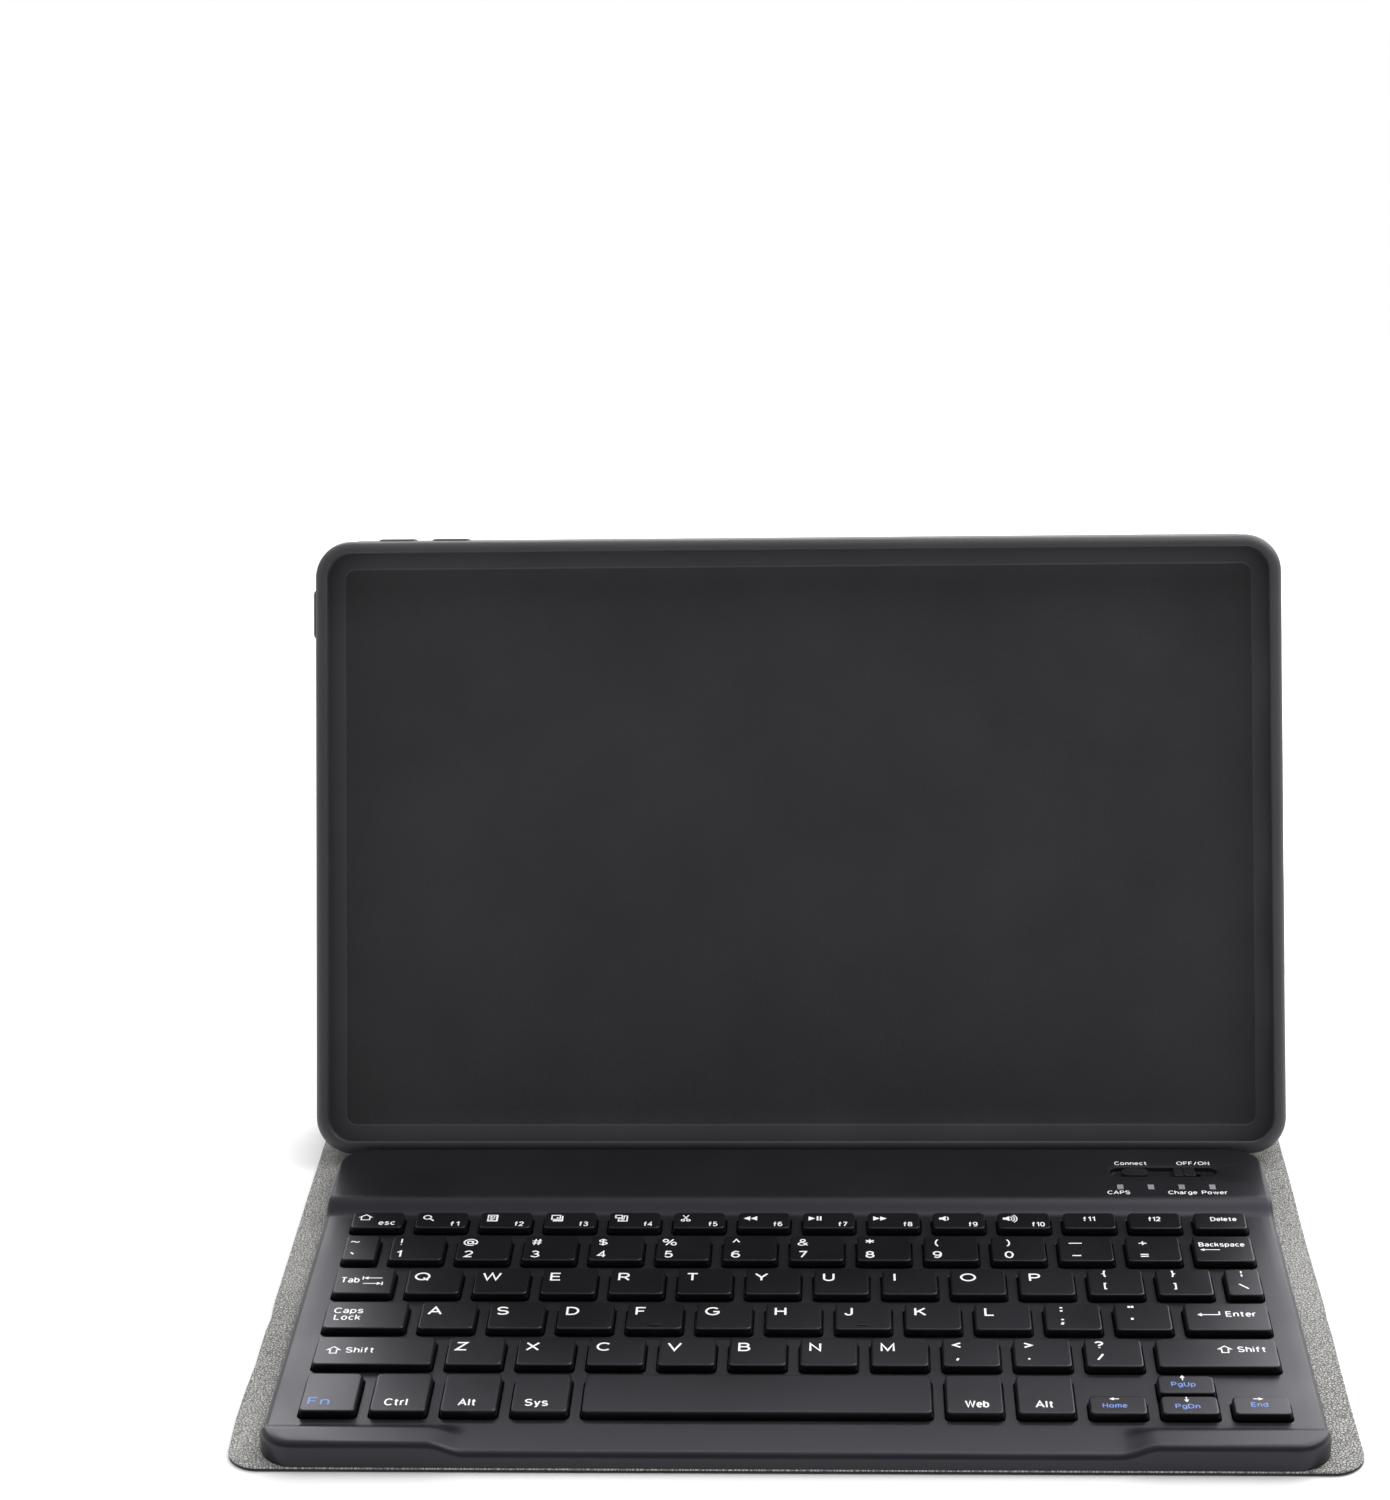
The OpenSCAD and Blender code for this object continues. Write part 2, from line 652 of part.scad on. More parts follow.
module board_hollow() {
    linear_extrude(under_deck_z) board_outline(board_wall);
    intersection() {
        linear_extrude(under_rear_z) board_outline(board_wall);
        translate([-board_w/2, rear_deck_y + board_wall, 0]) cube([board_w, rear_deck_d, raised_h]);
    }
}
module recess_outline() {
    square([recess_l - recess_w, recess_w], center = true);
    for (x = [-1, 1]) translate([x*(recess_l - recess_w)/2, 0]) circle(d = recess_w);
}
// Openings in the recess floor for the stems of the two controls
module control_stem_holes() {
    translate([switch_x, controls_y, 0]) linear_extrude(raised_h)
        square([stem_w + switch_travel + 2*key_clear, stem_w + 2*key_clear], center = true);
    translate([connect_x, controls_y, 0]) linear_extrude(raised_h)
        square([stem_w + 2*key_clear, stem_w + 2*key_clear], center = true);
}
module light_spots() {
    for (i = [-1.5:1.5]) translate([controls_x + i*light_pitch, lights_y, 0]) children();
}
module charging_mouth(clear) {
    translate([charge_x - charge_w/2 - clear, board_rear_y - board_wall - over, pcb_top_z - clear])
        cube([charge_w + 2*clear, board_wall + 2*over, charge_h + 2*clear]);
}
module screw_bosses() {
    for (s = screw_spots) translate([s[0], s[1], floor_t])
        cylinder(d = boss_d, h = (s[1] > rear_deck_y ? under_rear_z : under_deck_z) - floor_t);
}
module keyboard_top_case() {
    color(board_colour) translate([0, 0, board_z]) difference() {
        union() {
            difference() {
                board_shape();
                board_hollow();
            }
            screw_bosses();
            translate([controls_x, controls_y, recess_z - deck_t]) linear_extrude(recess_depth)
                square([recess_l + 2*deck_t, recess_w + 2*deck_t], center = true);
        }
        translate([0, 0, -over]) linear_extrude(deck_h + 2*over)
            for (k = opening_places) key_opening(k);
        translate([controls_x, controls_y, recess_z]) linear_extrude(recess_depth + over) recess_outline();
        control_stem_holes();
        light_spots() linear_extrude(raised_h + over)
            square([light_w + 2*fit_clear, light_d + 2*fit_clear], center = true);
        charging_mouth(fit_clear);
        for (s = screw_spots) translate([s[0], s[1], -over]) cylinder(d = screw_d, h = screw_l + over);
    }
}
module keyboard_bottom_case() {
    color(board_colour) translate([0, 0, board_z]) difference() {
        linear_extrude(floor_t) board_outline(board_wall + fit_clear);
        for (s = screw_spots) translate([s[0], s[1], 0]) {
            cylinder(d = screw_d, h = floor_t + over);
            translate([0, 0, -over]) cylinder(d = screw_head_d + 2*fit_clear, h = screw_head_h + over);
        }
    }
}
module case_screws() {
    color(steel_colour) translate([0, 0, board_z]) for (s = screw_spots) translate([s[0], s[1], 0]) {
        cylinder(d = screw_head_d, h = screw_head_h);
        cylinder(d = screw_d, h = screw_l);
    }
}
module field_sheet(inset, t) {
    translate([-field_w/2 + inset, field_y + inset, 0]) cube([field_w - 2*inset, field_d - 2*inset, t]);
}
module key_support_plate() {
    color(steel_colour) translate([0, 0, board_z + plate_z]) field_sheet(plate_inset, plate_t);
}
module membrane_sheet() {
    color([0.75, 0.78, 0.8]) translate([0, 0, board_z + membrane_z]) field_sheet(membrane_inset, membrane_t);
}
module rubber_domes() {
    dome_h = key_top_z - key_wall - fit_clear - dome_z;
    color([0.85, 0.85, 0.83]) for (k = key_places)
        translate([key_x(k[0], k[1]), key_y(k[0], k[2]), board_z + dome_z])
            cylinder(r1 = min(dome_r, key_d(k[0], k[2])/2 - key_wall/2), r2 = dome_top_r, h = dome_h);
}
module control_board() {
    color([0.1, 0.3, 0.18]) translate([pcb_x, pcb_y, board_z + floor_t])
        cube([pcb_l, pcb_d, pcb_t]);
}
module battery_cell() {
    color([0.6, 0.62, 0.65])
        translate([-battery_l/2, board_rear_y - board_wall - battery_gap - battery_d, board_z + floor_t])
            cube([battery_l, battery_d, battery_t]);
}
module charging_socket() {
    color(steel_colour) translate([charge_x, board_rear_y - fit_clear, board_z + pcb_top_z])
        rotate([90, 0, 0]) difference() {
            translate([-charge_w/2, 0, 0]) cube([charge_w, charge_h, charge_d]);
            translate([-charge_w/2 + charge_wall, charge_wall, -over])
                cube([charge_w - 2*charge_wall, charge_h - 2*charge_wall, charge_d + over - charge_wall]);
        }
}

// Controls in the recess

module control_stem(top) {
    translate([-stem_w/2, -stem_w/2, pcb_top_z + connect_travel + fit_clear])
        cube([stem_w, stem_w, top - pcb_top_z - connect_travel - fit_clear]);
}
module power_switch() {
    knob_w = recess_w - 2*key_clear;
    color(board_colour) translate([switch_x - switch_travel/2, controls_y, board_z]) {
        translate([-switch_l/2, -knob_w/2, recess_z + fit_clear])
            cube([switch_l, knob_w, recess_depth - fit_clear]);
        translate([-ridge_w/2, -knob_w/2, raised_h]) cube([ridge_w, knob_w, ridge_h]);
        control_stem(recess_z + fit_clear + ridge_h);
    }
}
module connect_button() {
    cap_w = recess_w - 2*key_clear;
    color(board_colour) translate([connect_x, controls_y, board_z]) {
        translate([0, 0, recess_z + connect_travel + fit_clear])
            linear_extrude(recess_depth - connect_travel - fit_clear) {
                square([connect_l - cap_w, cap_w], center = true);
                for (x = [-1, 1]) translate([x*(connect_l - cap_w)/2, 0]) circle(d = cap_w);
            }
        control_stem(recess_z + connect_travel + fit_clear + ridge_h);
    }
}
module indicator_windows() {
    color([0.9, 0.9, 0.9]) translate([0, 0, board_z]) light_spots()
        translate([0, 0, raised_h - light_l]) linear_extrude(light_l)
            square([light_w, light_d], center = true);
}

module esc_key() { key(function_row, 0); }
module function_keys() { keys(function_row, 1, 12); }
module delete_key() { key(function_row, 13); }
module number_keys() { keys(number_row, 0, 12); }
module backspace_key() { key(number_row, 13); }
module tab_key() { key(tab_row, 0); }
module top_letter_keys() { keys(tab_row, 1, 13); }
module caps_lock_key() { key(caps_row, 0); }
module home_letter_keys() { keys(caps_row, 1, 11); }
module enter_key() { key(caps_row, 12); }
module left_shift_key() { key(shift_row, 0); }
module bottom_letter_keys() { keys(shift_row, 1, 10); }
module right_shift_key() { key(shift_row, 11); }
module fn_key() { key(space_row, 0); }
module ctrl_key() { key(space_row, 1); }
module left_alt_key() { key(space_row, 2); }
module system_key() { key(space_row, 3); }
module space_bar() { key(space_row, 4); }
module browser_key() { key(space_row, 5); }
module right_alt_key() { key(space_row, 6); }
module left_arrow_key() { key(space_row, arrow_left, -1); }
module up_arrow_key() { key(space_row, arrow_stack, 1); }
module down_arrow_key() { key(space_row, arrow_stack, -1); }
module right_arrow_key() { key(space_row, arrow_right, -1); }

base_front_cover();
base_rear_cover();
base_crease_strip();
base_lining();
base_keeper_plates();
spine_cover();
spine_lining();
leg_cover();
leg_lining();
tray_panel();
tablet_tray();
edge_strip();
flap_cover();
flap_lining();
flap_magnets();
keyboard_top_case();
keyboard_bottom_case();
key_support_plate();
membrane_sheet();
rubber_domes();
control_board();
battery_cell();
charging_socket();
power_switch();
connect_button();
indicator_windows();
case_screws();
esc_key();
function_keys();
delete_key();
number_keys();
backspace_key();
tab_key();
top_letter_keys();
caps_lock_key();
home_letter_keys();
enter_key();
left_shift_key();
bottom_letter_keys();
right_shift_key();
fn_key();
ctrl_key();
left_alt_key();
system_key();
space_bar();
browser_key();
right_alt_key();
left_arrow_key();
up_arrow_key();
down_arrow_key();
right_arrow_key();
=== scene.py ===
"""Dresses the tablet keyboard case: soft cover, tray, keyboard with printed caps, and studio."""

import math

import bmesh
import bpy
from mathutils import Matrix, Vector


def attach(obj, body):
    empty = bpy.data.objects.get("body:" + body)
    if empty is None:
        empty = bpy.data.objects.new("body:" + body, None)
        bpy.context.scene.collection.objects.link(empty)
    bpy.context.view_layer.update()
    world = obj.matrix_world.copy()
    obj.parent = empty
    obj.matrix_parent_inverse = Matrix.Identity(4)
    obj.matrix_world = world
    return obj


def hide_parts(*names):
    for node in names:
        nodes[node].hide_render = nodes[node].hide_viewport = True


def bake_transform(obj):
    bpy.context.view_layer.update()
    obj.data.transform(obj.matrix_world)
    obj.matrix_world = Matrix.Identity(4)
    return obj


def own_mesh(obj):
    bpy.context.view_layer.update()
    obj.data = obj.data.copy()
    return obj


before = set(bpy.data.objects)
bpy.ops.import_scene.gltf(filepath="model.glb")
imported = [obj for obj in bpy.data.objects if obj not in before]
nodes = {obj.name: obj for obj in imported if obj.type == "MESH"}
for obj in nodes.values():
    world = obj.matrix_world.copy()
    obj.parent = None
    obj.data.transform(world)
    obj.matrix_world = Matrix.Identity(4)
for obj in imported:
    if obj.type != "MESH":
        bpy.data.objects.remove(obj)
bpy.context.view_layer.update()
scene = bpy.context.scene
MM = 0.001

# Sizes in millimetres, as the CAD has them
COVER_W, COVER_T, LINING_T = 262.0, 0.7, 0.5
PANEL_T = COVER_T + LINING_T
BASE_D, BASE_R = 159.0, 8.0
FRONT_Y = -BASE_D / 2
CREASE_AT, CREASE_W = 64.5, 5.0
SPINE_L, LEG_L, LEG_ANGLE, TRAY_ANGLE = 20.9, 31.4689, 114.416, 68.0
SPINE_AXIS, LEG_AXIS = (79.5, 0.6), (100.4, 0.6)
TRAY_AXIS = (87.3922, 29.2547)
FLAP_AXIS, TURN_AXIS = (140.713, 156.691), (131.61, 134.16)
FOLD_UP, PANEL_H = 30.0689, 136.9311
EDGE_L, FLAP_L, FLAP_T, FLAP_W, FLAP_R = 24.3, 38.0, 1.6, 242.0, 8.0
TRAY_W, TRAY_H, TRAY_R = 262.4, 167.0, 10.0
TRAY_WALL, TRAY_BACK, TRAY_T, LIP_T, LIP_REACH, TRAY_EDGE = 2.0, 1.5, 10.0, 1.0, 1.6, 3.0
FIELD_W, FIELD_UNITS = 234.3, 13.78
KEY_GAP_X, KEY_GAP_Y, ARROW_GAP = 3.65, 4.2, 1.5
KEY_FOOT_Z, KEY_TOP_Z, KEY_SPREAD, KEY_R, KEY_BEVEL = 4.25, 7.1, 0.45, 1.3, 0.35
KEY_WALL, KEY_INNER_R, KEY_TRAVEL, DOME_Z = 1.0, 0.3, 1.5, 2.5
DECK_Z, REAR_DECK_Z = 5.1, 7.9
# Half length of a soft fold
FOLD = 4.0
# Points closer than this are one, in metres
WELD = 1e-7


# Mesh helpers

def add_object(name, mesh, mats):
    obj = bpy.data.objects.new(name, mesh)
    scene.collection.objects.link(obj)
    for m in mats if isinstance(mats, (list, tuple)) else [mats]:
        mesh.materials.append(m)
    return obj


def solid(name, bm, mats, smooth=True):
    """An object from a bmesh, with its doubled points joined."""
    bmesh.ops.remove_doubles(bm, verts=bm.verts, dist=WELD)
    bmesh.ops.dissolve_degenerate(bm, edges=bm.edges, dist=WELD)
    bmesh.ops.recalc_face_normals(bm, faces=bm.faces)
    mesh = bpy.data.meshes.new(name)
    bm.to_mesh(mesh)
    bm.free()
    for p in mesh.polygons:
        p.use_smooth = smooth
    return add_object(name, mesh, mats)


def spin(degrees, axis):
    return Matrix.Rotation(math.radians(degrees), 4, axis)


def heading(degrees):
    """The cosine and sine of an angle."""
    a = math.radians(degrees)
    return math.cos(a), math.sin(a)


def rounded_ring(w, d, r, seg, z, x=0.0, y=0.0):
    """Points of a rounded rectangle in millimetres, the same number for every size."""
    r = max(min(r, w / 2 - 1e-4, d / 2 - 1e-4), 0.02)
    out = []
    for cx, cy, a0 in ((1, 1, 0), (-1, 1, 90), (-1, -1, 180), (1, -1, 270)):
        for i in range(seg + 1):
            c, s = heading(a0 + 90 * i / seg)
            out.append((x + cx * (w / 2 - r) + r * c, y + cy * (d / 2 - r) + r * s, z))
    return out


def loft(bm, rings):
    """A closed skin through rings of points in millimetres."""
    made = [[bm.verts.new([c * MM for c in p]) for p in ring] for ring in rings]
    n = len(made[0])
    for a, b in zip(made, made[1:]):
        for i in range(n):
            j = (i + 1) % n
            bm.faces.new((a[i], a[j], b[j], b[i]))
    bm.faces.new(list(reversed(made[0])))
    bm.faces.new(made[-1])


def prism(bm, x, y, w, d, r, levels, seg=5):
    """A rounded bar with the given growth at each height."""
    loft(bm, [rounded_ring(w + 2 * g, d + 2 * g, r + g, seg, z, x, y) for z, g in levels])


def ease(t):
    """A soft step from 0 to 1."""
    t = min(1.0, max(0.0, t))
    return t * t * (3 - 2 * t)


def hump(s, at, width):
    """A soft rise to 1 and back."""
    return math.exp(-((s - at) / width) ** 2)


def corner_pull(q, r):
    """How far a rounded corner of radius r draws a side in, at q from its end."""
    return r - math.sqrt(max(0.0, r * r - (r - q) ** 2)) if q < r else 0.0


def arc_stops(r, step):
    """Places along a side where a rounded corner turns by even steps."""
    return [r * (1 - heading(a)[0]) for a in range(0, 91, step)]


# Materials

def rgb(*levels):
    """A colour given as its 0 to 255 display levels."""
    lin = [(v / 255 / 12.92 if v <= 10 else ((v / 255 + 0.055) / 1.055) ** 2.4) for v in levels]
    return (*lin, 1.0)


def new_material(name):
    mat = bpy.data.materials.new(name)
    mat.use_nodes = True
    tree = mat.node_tree
    return mat, tree, tree.nodes["Principled BSDF"]


def feed(socket, value):
    """Gives a socket a value, or another node's output."""
    if isinstance(value, bpy.types.NodeSocket):
        socket.id_data.links.new(value, socket)
    else:
        socket.default_value = value


def settle(node, values):
    """Sets a node's sockets and settings by name."""
    for key, value in values.items():
        if key in node.inputs:
            feed(node.inputs[key], value)
        else:
            setattr(node, key, value)


def add(tree, kind, *fed, **values):
    """A node, with what its first sockets are fed."""
    node = tree.nodes.new("ShaderNode" + kind)
    for socket, value in zip(node.inputs, fed):
        feed(socket, value)
    settle(node, values)
    return node


def coords(tree):
    return add(tree, "TexCoord").outputs["Object"]


def ramp(tree, source, stops):
    node = add(tree, "ValToRGB", source)
    elements = node.color_ramp.elements
    while len(elements) < len(stops):
        elements.new(0.5)
    for e, (at, value) in zip(elements, stops):
        e.position = at
        e.color = value if isinstance(value, tuple) else (value, value, value, 1)
    return node.outputs[0]


def math_node(tree, op, a, b):
    return add(tree, "Math", a, b, operation=op).outputs[0]


def weighed(tree, a, weight_a, b, weight_b):
    return math_node(tree, "ADD", math_node(tree, "MULTIPLY", a, weight_a), math_node(tree, "MULTIPLY", b, weight_b))


def bump(tree, height, depth):
    return add(tree, "Bump", Strength=1.0, Distance=depth * MM, Height=height).outputs[0]


def noise(tree, at, scale, detail=2.0, rough=0.5, out="Fac"):
    return add(tree, "TexNoise", Vector=at, Scale=scale, Detail=detail, Roughness=rough).outputs[out]


def cells(tree, at, scale, warp, warp_scale):
    """Distance from the creases of a warped cell pattern."""
    wob = noise(tree, at, warp_scale, 1.0, out="Color")
    mix = add(tree, "VectorMath", wob, (warp, warp, warp), at, operation="MULTIPLY_ADD").outputs[0]
    return add(tree, "TexVoronoi", feature="DISTANCE_TO_EDGE", Vector=mix, Scale=scale).outputs["Distance"]


def leather(name, dark, light, cell, depth, rough, spec):
    """Embossed sheet: warped cells with soft creases painted darker as painted shade, over the grain's own tone and a
    slow change of shade.
    """
    mat, tree, bsdf = new_material(name)
    at = add(tree, "UVMap", uv_map="grain").outputs[0]
    creases = ramp(tree, cells(tree, at, 1 / (cell * MM), cell * MM * 0.9, 0.7 / (cell * MM)),
                   [(0.0, 0.0), (0.16, 0.75), (0.5, 1.0)])
    fine = noise(tree, at, 2.2 / (cell * MM), 3.0)
    slow = noise(tree, at, 18.0, 3.0)
    # The creases' darker colour is painted shade in the grain's hollows; the noise adds the sheet's own uneven tone.
    shade = weighed(tree, creases, 0.55, math_node(tree, "ADD", slow, fine), 0.25)
    settle(bsdf, {
        "Base Color": ramp(tree, shade, [(0.15, rgb(*dark)), (0.85, rgb(*light))]),
        "Roughness": ramp(tree, fine, [(0.3, rough - 0.06), (0.7, rough + 0.06)]),
        "Specular IOR Level": spec, "Normal": bump(tree, weighed(tree, creases, 1.0, fine, 0.35), depth)})
    return mat


def moulded(name, dark, light, grain, depth, rough, spec=0.5, metal=0.0, tint=(1, 1, 1, 1)):
    """Spark-textured plastic or metal: fine pits over a slow change of shade."""
    mat, tree, bsdf = new_material(name)
    at = coords(tree)
    pits = noise(tree, at, 1 / (grain * MM))
    slow = noise(tree, at, 25.0, 3.0, 0.6)
    shade = weighed(tree, pits, 0.4, slow, 0.6)
    settle(bsdf, {
        "Base Color": ramp(tree, shade, [(0.3, rgb(*dark)), (0.7, rgb(*light))]),
        "Roughness": ramp(tree, slow, [(0.3, rough - 0.05), (0.7, rough + 0.05)]),
        "Specular IOR Level": spec, "Metallic": metal, "Specular Tint": tint, "Normal": bump(tree, pits, depth)})
    return mat


# The dark end of each grain's colour range is mostly painted shade in its creases.
skin_mat = leather("cover_skin", (30, 31, 36), (48, 49, 55), 0.55, 0.035, 0.48, 0.4)
lining_mat = leather("lining", (52, 51, 49), (197, 196, 193), 0.75, 0.24, 0.6, 0.25)
tray_mat = moulded("tray", (54, 53, 57), (63, 62, 66), 0.22, 0.012, 0.48, 0.4)
floor_mat = moulded("tray_floor", (40, 40, 43), (50, 50, 53), 0.5, 0.03, 0.55, 0.35)
BLUISH = (0.85, 0.83, 1.0, 1.0)
body_mat = moulded("keyboard_body", (25, 25, 28), (31, 31, 34), 0.25, 0.008, 0.36, 0.38, tint=BLUISH)
key_mat = moulded("key_plastic", (11, 11, 13), (18, 18, 20), 0.2, 0.008, 0.34, 0.44, tint=BLUISH)
control_mat = moulded("control", (23, 23, 26), (30, 30, 33), 0.2, 0.008, 0.34, 0.5)
steel_mat = moulded("steel", (170, 170, 175), (196, 196, 200), 0.3, 0.006, 0.34, 0.5, metal=1.0)
membrane_mat = moulded("membrane", (150, 160, 155), (178, 186, 180), 1.2, 0.01, 0.3, 0.5)
dome_mat = moulded("dome_rubber", (168, 168, 164), (190, 190, 186), 0.6, 0.01, 0.55, 0.35)
board_mat = moulded("circuit_board", (16, 62, 38), (28, 88, 54), 0.9, 0.012, 0.35, 0.5)
foil_mat = moulded("battery_foil", (150, 152, 158), (188, 190, 196), 1.5, 0.03, 0.38, 0.5, metal=0.8)
light_mat = moulded("clear_plastic", (120, 123, 130), (158, 162, 168), 0.4, 0.004, 0.22, 0.6)
white_ink = moulded("legend_white", (240, 240, 241), (250, 250, 251), 0.3, 0.002, 0.5, 0.3)
blue_ink = moulded("legend_blue", (104, 134, 206), (124, 152, 220), 0.3, 0.002, 0.5, 0.3)

NODE_MATS = {
    "keyboard_bottom_case": body_mat, "base_keeper_plates": steel_mat, "flap_magnets": steel_mat,
    "key_support_plate": steel_mat, "membrane_sheet": membrane_mat, "control_board": board_mat,
    "battery_cell": foil_mat, "charging_socket": steel_mat, "power_switch": control_mat,
    "connect_button": control_mat, "indicator_windows": light_mat, "case_screws": steel_mat}
for name, mat in NODE_MATS.items():
    nodes[name].data.materials.clear()
    nodes[name].data.materials.append(mat)


# Soft cover: every sheet is a grid with a rolled rim, and soft strips cross the folds

RIM, RIM_R = (0.0, 0.03, 0.1, 0.2, 0.35, 0.6), 0.35
PRESS = (3.0, 3.4, 3.7, 4.0, 4.3, 4.6, 5.0)
PRESS_AT, PRESS_HALF, PRESS_DEPTH = 4.0, 0.8, 0.22
# Inset of the plain middle of a sheet, and the number of its columns
MIDDLE_AT, MIDDLE_COLUMNS = 8.0, 8


def spread(length, stops0, stops1, step):
    """Places along a side: the given ones from each end, and even ones between."""
    left = [s for s in stops0 if s < length / 2]
    right = [length - s for s in stops1 if s < length / 2]
    a, b = max(left, default=0), min(right, default=length)
    n = max(1, round((b - a) / step))
    mid = [a + (b - a) * i / n for i in range(1, n)]
    return sorted(set(left + mid + right))


def sheet_piece(name, mat, path, w, length, lo, hi, r0=0.0, r1=0.0, rims=(False, False), pressed=False,
                dent=None, waver=None, step=12.0):
    """A sheet along path(s) -> (y, z, ty, tz), between lo and hi off its middle.

    rims say which ends are rolled, pressed gives the outer face its pressed outline,
    dent(s) is how far each face goes in at s, and waver(s) how far the left and right edges go out."""
    def stops(r, rim):
        arc = arc_stops(r, 9) if r else []
        return (list(RIM) if rim else [0.0]) + arc + (list(PRESS) if pressed and rim else [])

    rows = spread(length, stops(r0, rims[0]), stops(r1, rims[1]), step)
    if dent:
        rows = sorted(set(rows + [s for s in CREASE_STOPS if 0 < s < length]))
    insets = list(RIM) + (list(PRESS) if pressed else []) + [MIDDLE_AT]
    half, h = w / 2, (hi - lo) / 2
    bm = bmesh.new()
    uv = bm.loops.layers.uv.new("grain")
    spots, top, bottom = {}, [], []
    for s in rows:
        ends = [q for q, rim in zip((s, length - s), rims) if rim]
        corners = [(r, q) for r, q in ((r0, s), (r1, length - s)) if q < r]

        def inside(x, side):
            """How far a point is from the nearest rim, with its side edge at the given place."""
            near = [r - math.hypot(abs(x) - (half - r), r - q) for r, q in corners if abs(x) > half - r]
            return min([side - abs(x)] + ends + near)

        xe = half - max(corner_pull(s, r0), corner_pull(length - s, r1))
        out_l, out_r = waver(s) if waver else (0.0, 0.0)
        left = [-xe - out_l + i for i in insets]
        right = [xe + out_r - i for i in reversed(insets)]
        gap = right[0] - left[-1]
        xs = left + [left[-1] + gap * i / MIDDLE_COLUMNS for i in range(1, MIDDLE_COLUMNS)] + right
        y, z, ty, tz = path(s)
        row_t, row_b = [], []
        for x in xs:
            e = max(0.0, inside(x, xe + (out_r if x > 0 else out_l)))
            f = math.sqrt(max(0.0, 1 - (1 - min(e / min(h, RIM_R), 1.0)) ** 2))
            zl, zh = lo + h - h * f, lo + h + h * f
            if pressed:
                zl += PRESS_DEPTH * max(0.0, 1 - ((inside(x, half) - PRESS_AT) / PRESS_HALF) ** 2)
            if dent:
                dl, dh = dent(s)
                zl, zh = zl + dl * min(1, e / RIM_R), zh - dh * min(1, e / RIM_R)
            for row, off in ((row_t, zh), (row_b, zl)):
                v = bm.verts.new((x * MM, (y - tz * off) * MM, (z + ty * off) * MM))
                spots[v] = (x * MM, s * MM)
                row.append(v)
        top.append(row_t)
        bottom.append(row_b)
    n = len(top[0])
    for j in range(len(rows) - 1):
        for i in range(n - 1):
            bm.faces.new((top[j][i], top[j][i + 1], top[j + 1][i + 1], top[j + 1][i]))
            bm.faces.new((bottom[j][i], bottom[j + 1][i], bottom[j + 1][i + 1], bottom[j][i + 1]))
        for i in (0, n - 1):
            bm.faces.new((top[j][i], top[j + 1][i], bottom[j + 1][i], bottom[j][i]))
    for j in (0, len(rows) - 1):
        for i in range(n - 1):
            bm.faces.new((top[j][i], bottom[j][i], bottom[j][i + 1], top[j][i + 1]))
    for f in bm.faces:
        for loop in f.loops:
            loop[uv].uv = spots[loop.vert]
    return solid(name, bm, mat)


def straight(axis, angle, start=0.0):
    """Path along a panel, from a place on it."""
    c, s = heading(angle)
    return lambda t: (axis[0] + (t + start) * c, axis[1] + (t + start) * s, c, s)


def toward(axis, angle, reach):
    c, s = heading(angle)
    return axis[0] + reach * c, axis[1] + reach * s


def bend(axis, angle_a, angle_b, reach):
    """Path and length of a soft fold that leaves one panel and joins the next."""
    p0, p1, p2 = (Vector(p) for p in (toward(axis, angle_a, -reach), axis, toward(axis, angle_b, reach)))
    return polyline([(1 - t) ** 2 * p0 + 2 * t * (1 - t) * p1 + t * t * p2 for t in [i / 200 for i in range(201)]])


def polyline(pts):
    """Path by length along closely spaced points."""
    at = [0.0]
    for p, q in zip(pts, pts[1:]):
        at.append(at[-1] + (q - p).length)

    def path(s):
        k = next((i for i in range(1, len(at)) if at[i] >= s - 1e-9), len(at) - 1)
        t = (s - at[k - 1]) / (at[k] - at[k - 1])
        p = pts[k - 1].lerp(pts[k], t)
        i0, i1 = max(k - 2, 0), min(k + 1, len(pts) - 1)
        d = (pts[i1] - pts[i0]).normalized()
        return p.x, p.y, d.x, d.y
    return path, at[-1]


LO, SPLIT, HI = -PANEL_T / 2, COVER_T - PANEL_T / 2, PANEL_T / 2
CREASE_MID, CREASE_DEPTH = CREASE_AT + CREASE_W / 2, 0.3
CREASE_STOPS = [CREASE_MID + d for d in (-10, -8, -6, -5, -4, -3.2, -2.5, -1.8, -1.2, 0,
                                         1.2, 1.8, 2.5, 3.2, 4, 5, 6, 8, 10)]


def crease_under(s):
    """The skin is pressed thin between the base's two panels, with soft shoulders."""
    return CREASE_DEPTH * ease((3.2 - abs(s - CREASE_MID)) / 1.4), 0.0


def crease_over(s):
    """The lining shows the crease faintly."""
    return 0.0, CREASE_DEPTH * hump(s, CREASE_MID, 1.7)


def base_edge(s):
    """The base's side edges are cut a little unevenly, and pinched in at the crease."""
    pinch = 0.35 * hump(s, CREASE_MID, 4)
    calm = min(1.0, max(0.0, (s - 8) / 14), max(0.0, (BASE_D - FOLD - s) / 20))
    bulge = 0.6 * hump(s, 24, 13) - 0.15 * hump(s, 47, 7)
    return calm * (bulge - pinch), calm * (0.15 * math.sin(s / 12 + 2) - 0.6 * pinch)


def ride(piece, body, slot, *replaced):
    if replaced:
        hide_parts(*replaced)
    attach(piece, body)


def cross(piece):
    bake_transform(piece)


FACES = {"cover_skin": skin_mat, "lining": lining_mat}


def panel(name, face, path, w, length, lo, hi, body, *replaced, **how):
    """A sheet of skin or lining on one body."""
    ride(sheet_piece(name, FACES[face], path, w, length, lo, hi, **how), body, face, *replaced)


def lined(part, path, w, length, layers, *covers, skin=None, cloth=None, **how):
    """A panel of the cover, with a skin outside and a lining inside."""
    lo, mid, hi = layers
    panel(part + "_skin", "cover_skin", path, w, length, lo, mid, part, *covers, **how, **(skin or {}))
    panel(part + "_lining_sheet", "lining", path, w, length, mid, hi, part, part + "_lining", **how, **(cloth or {}))


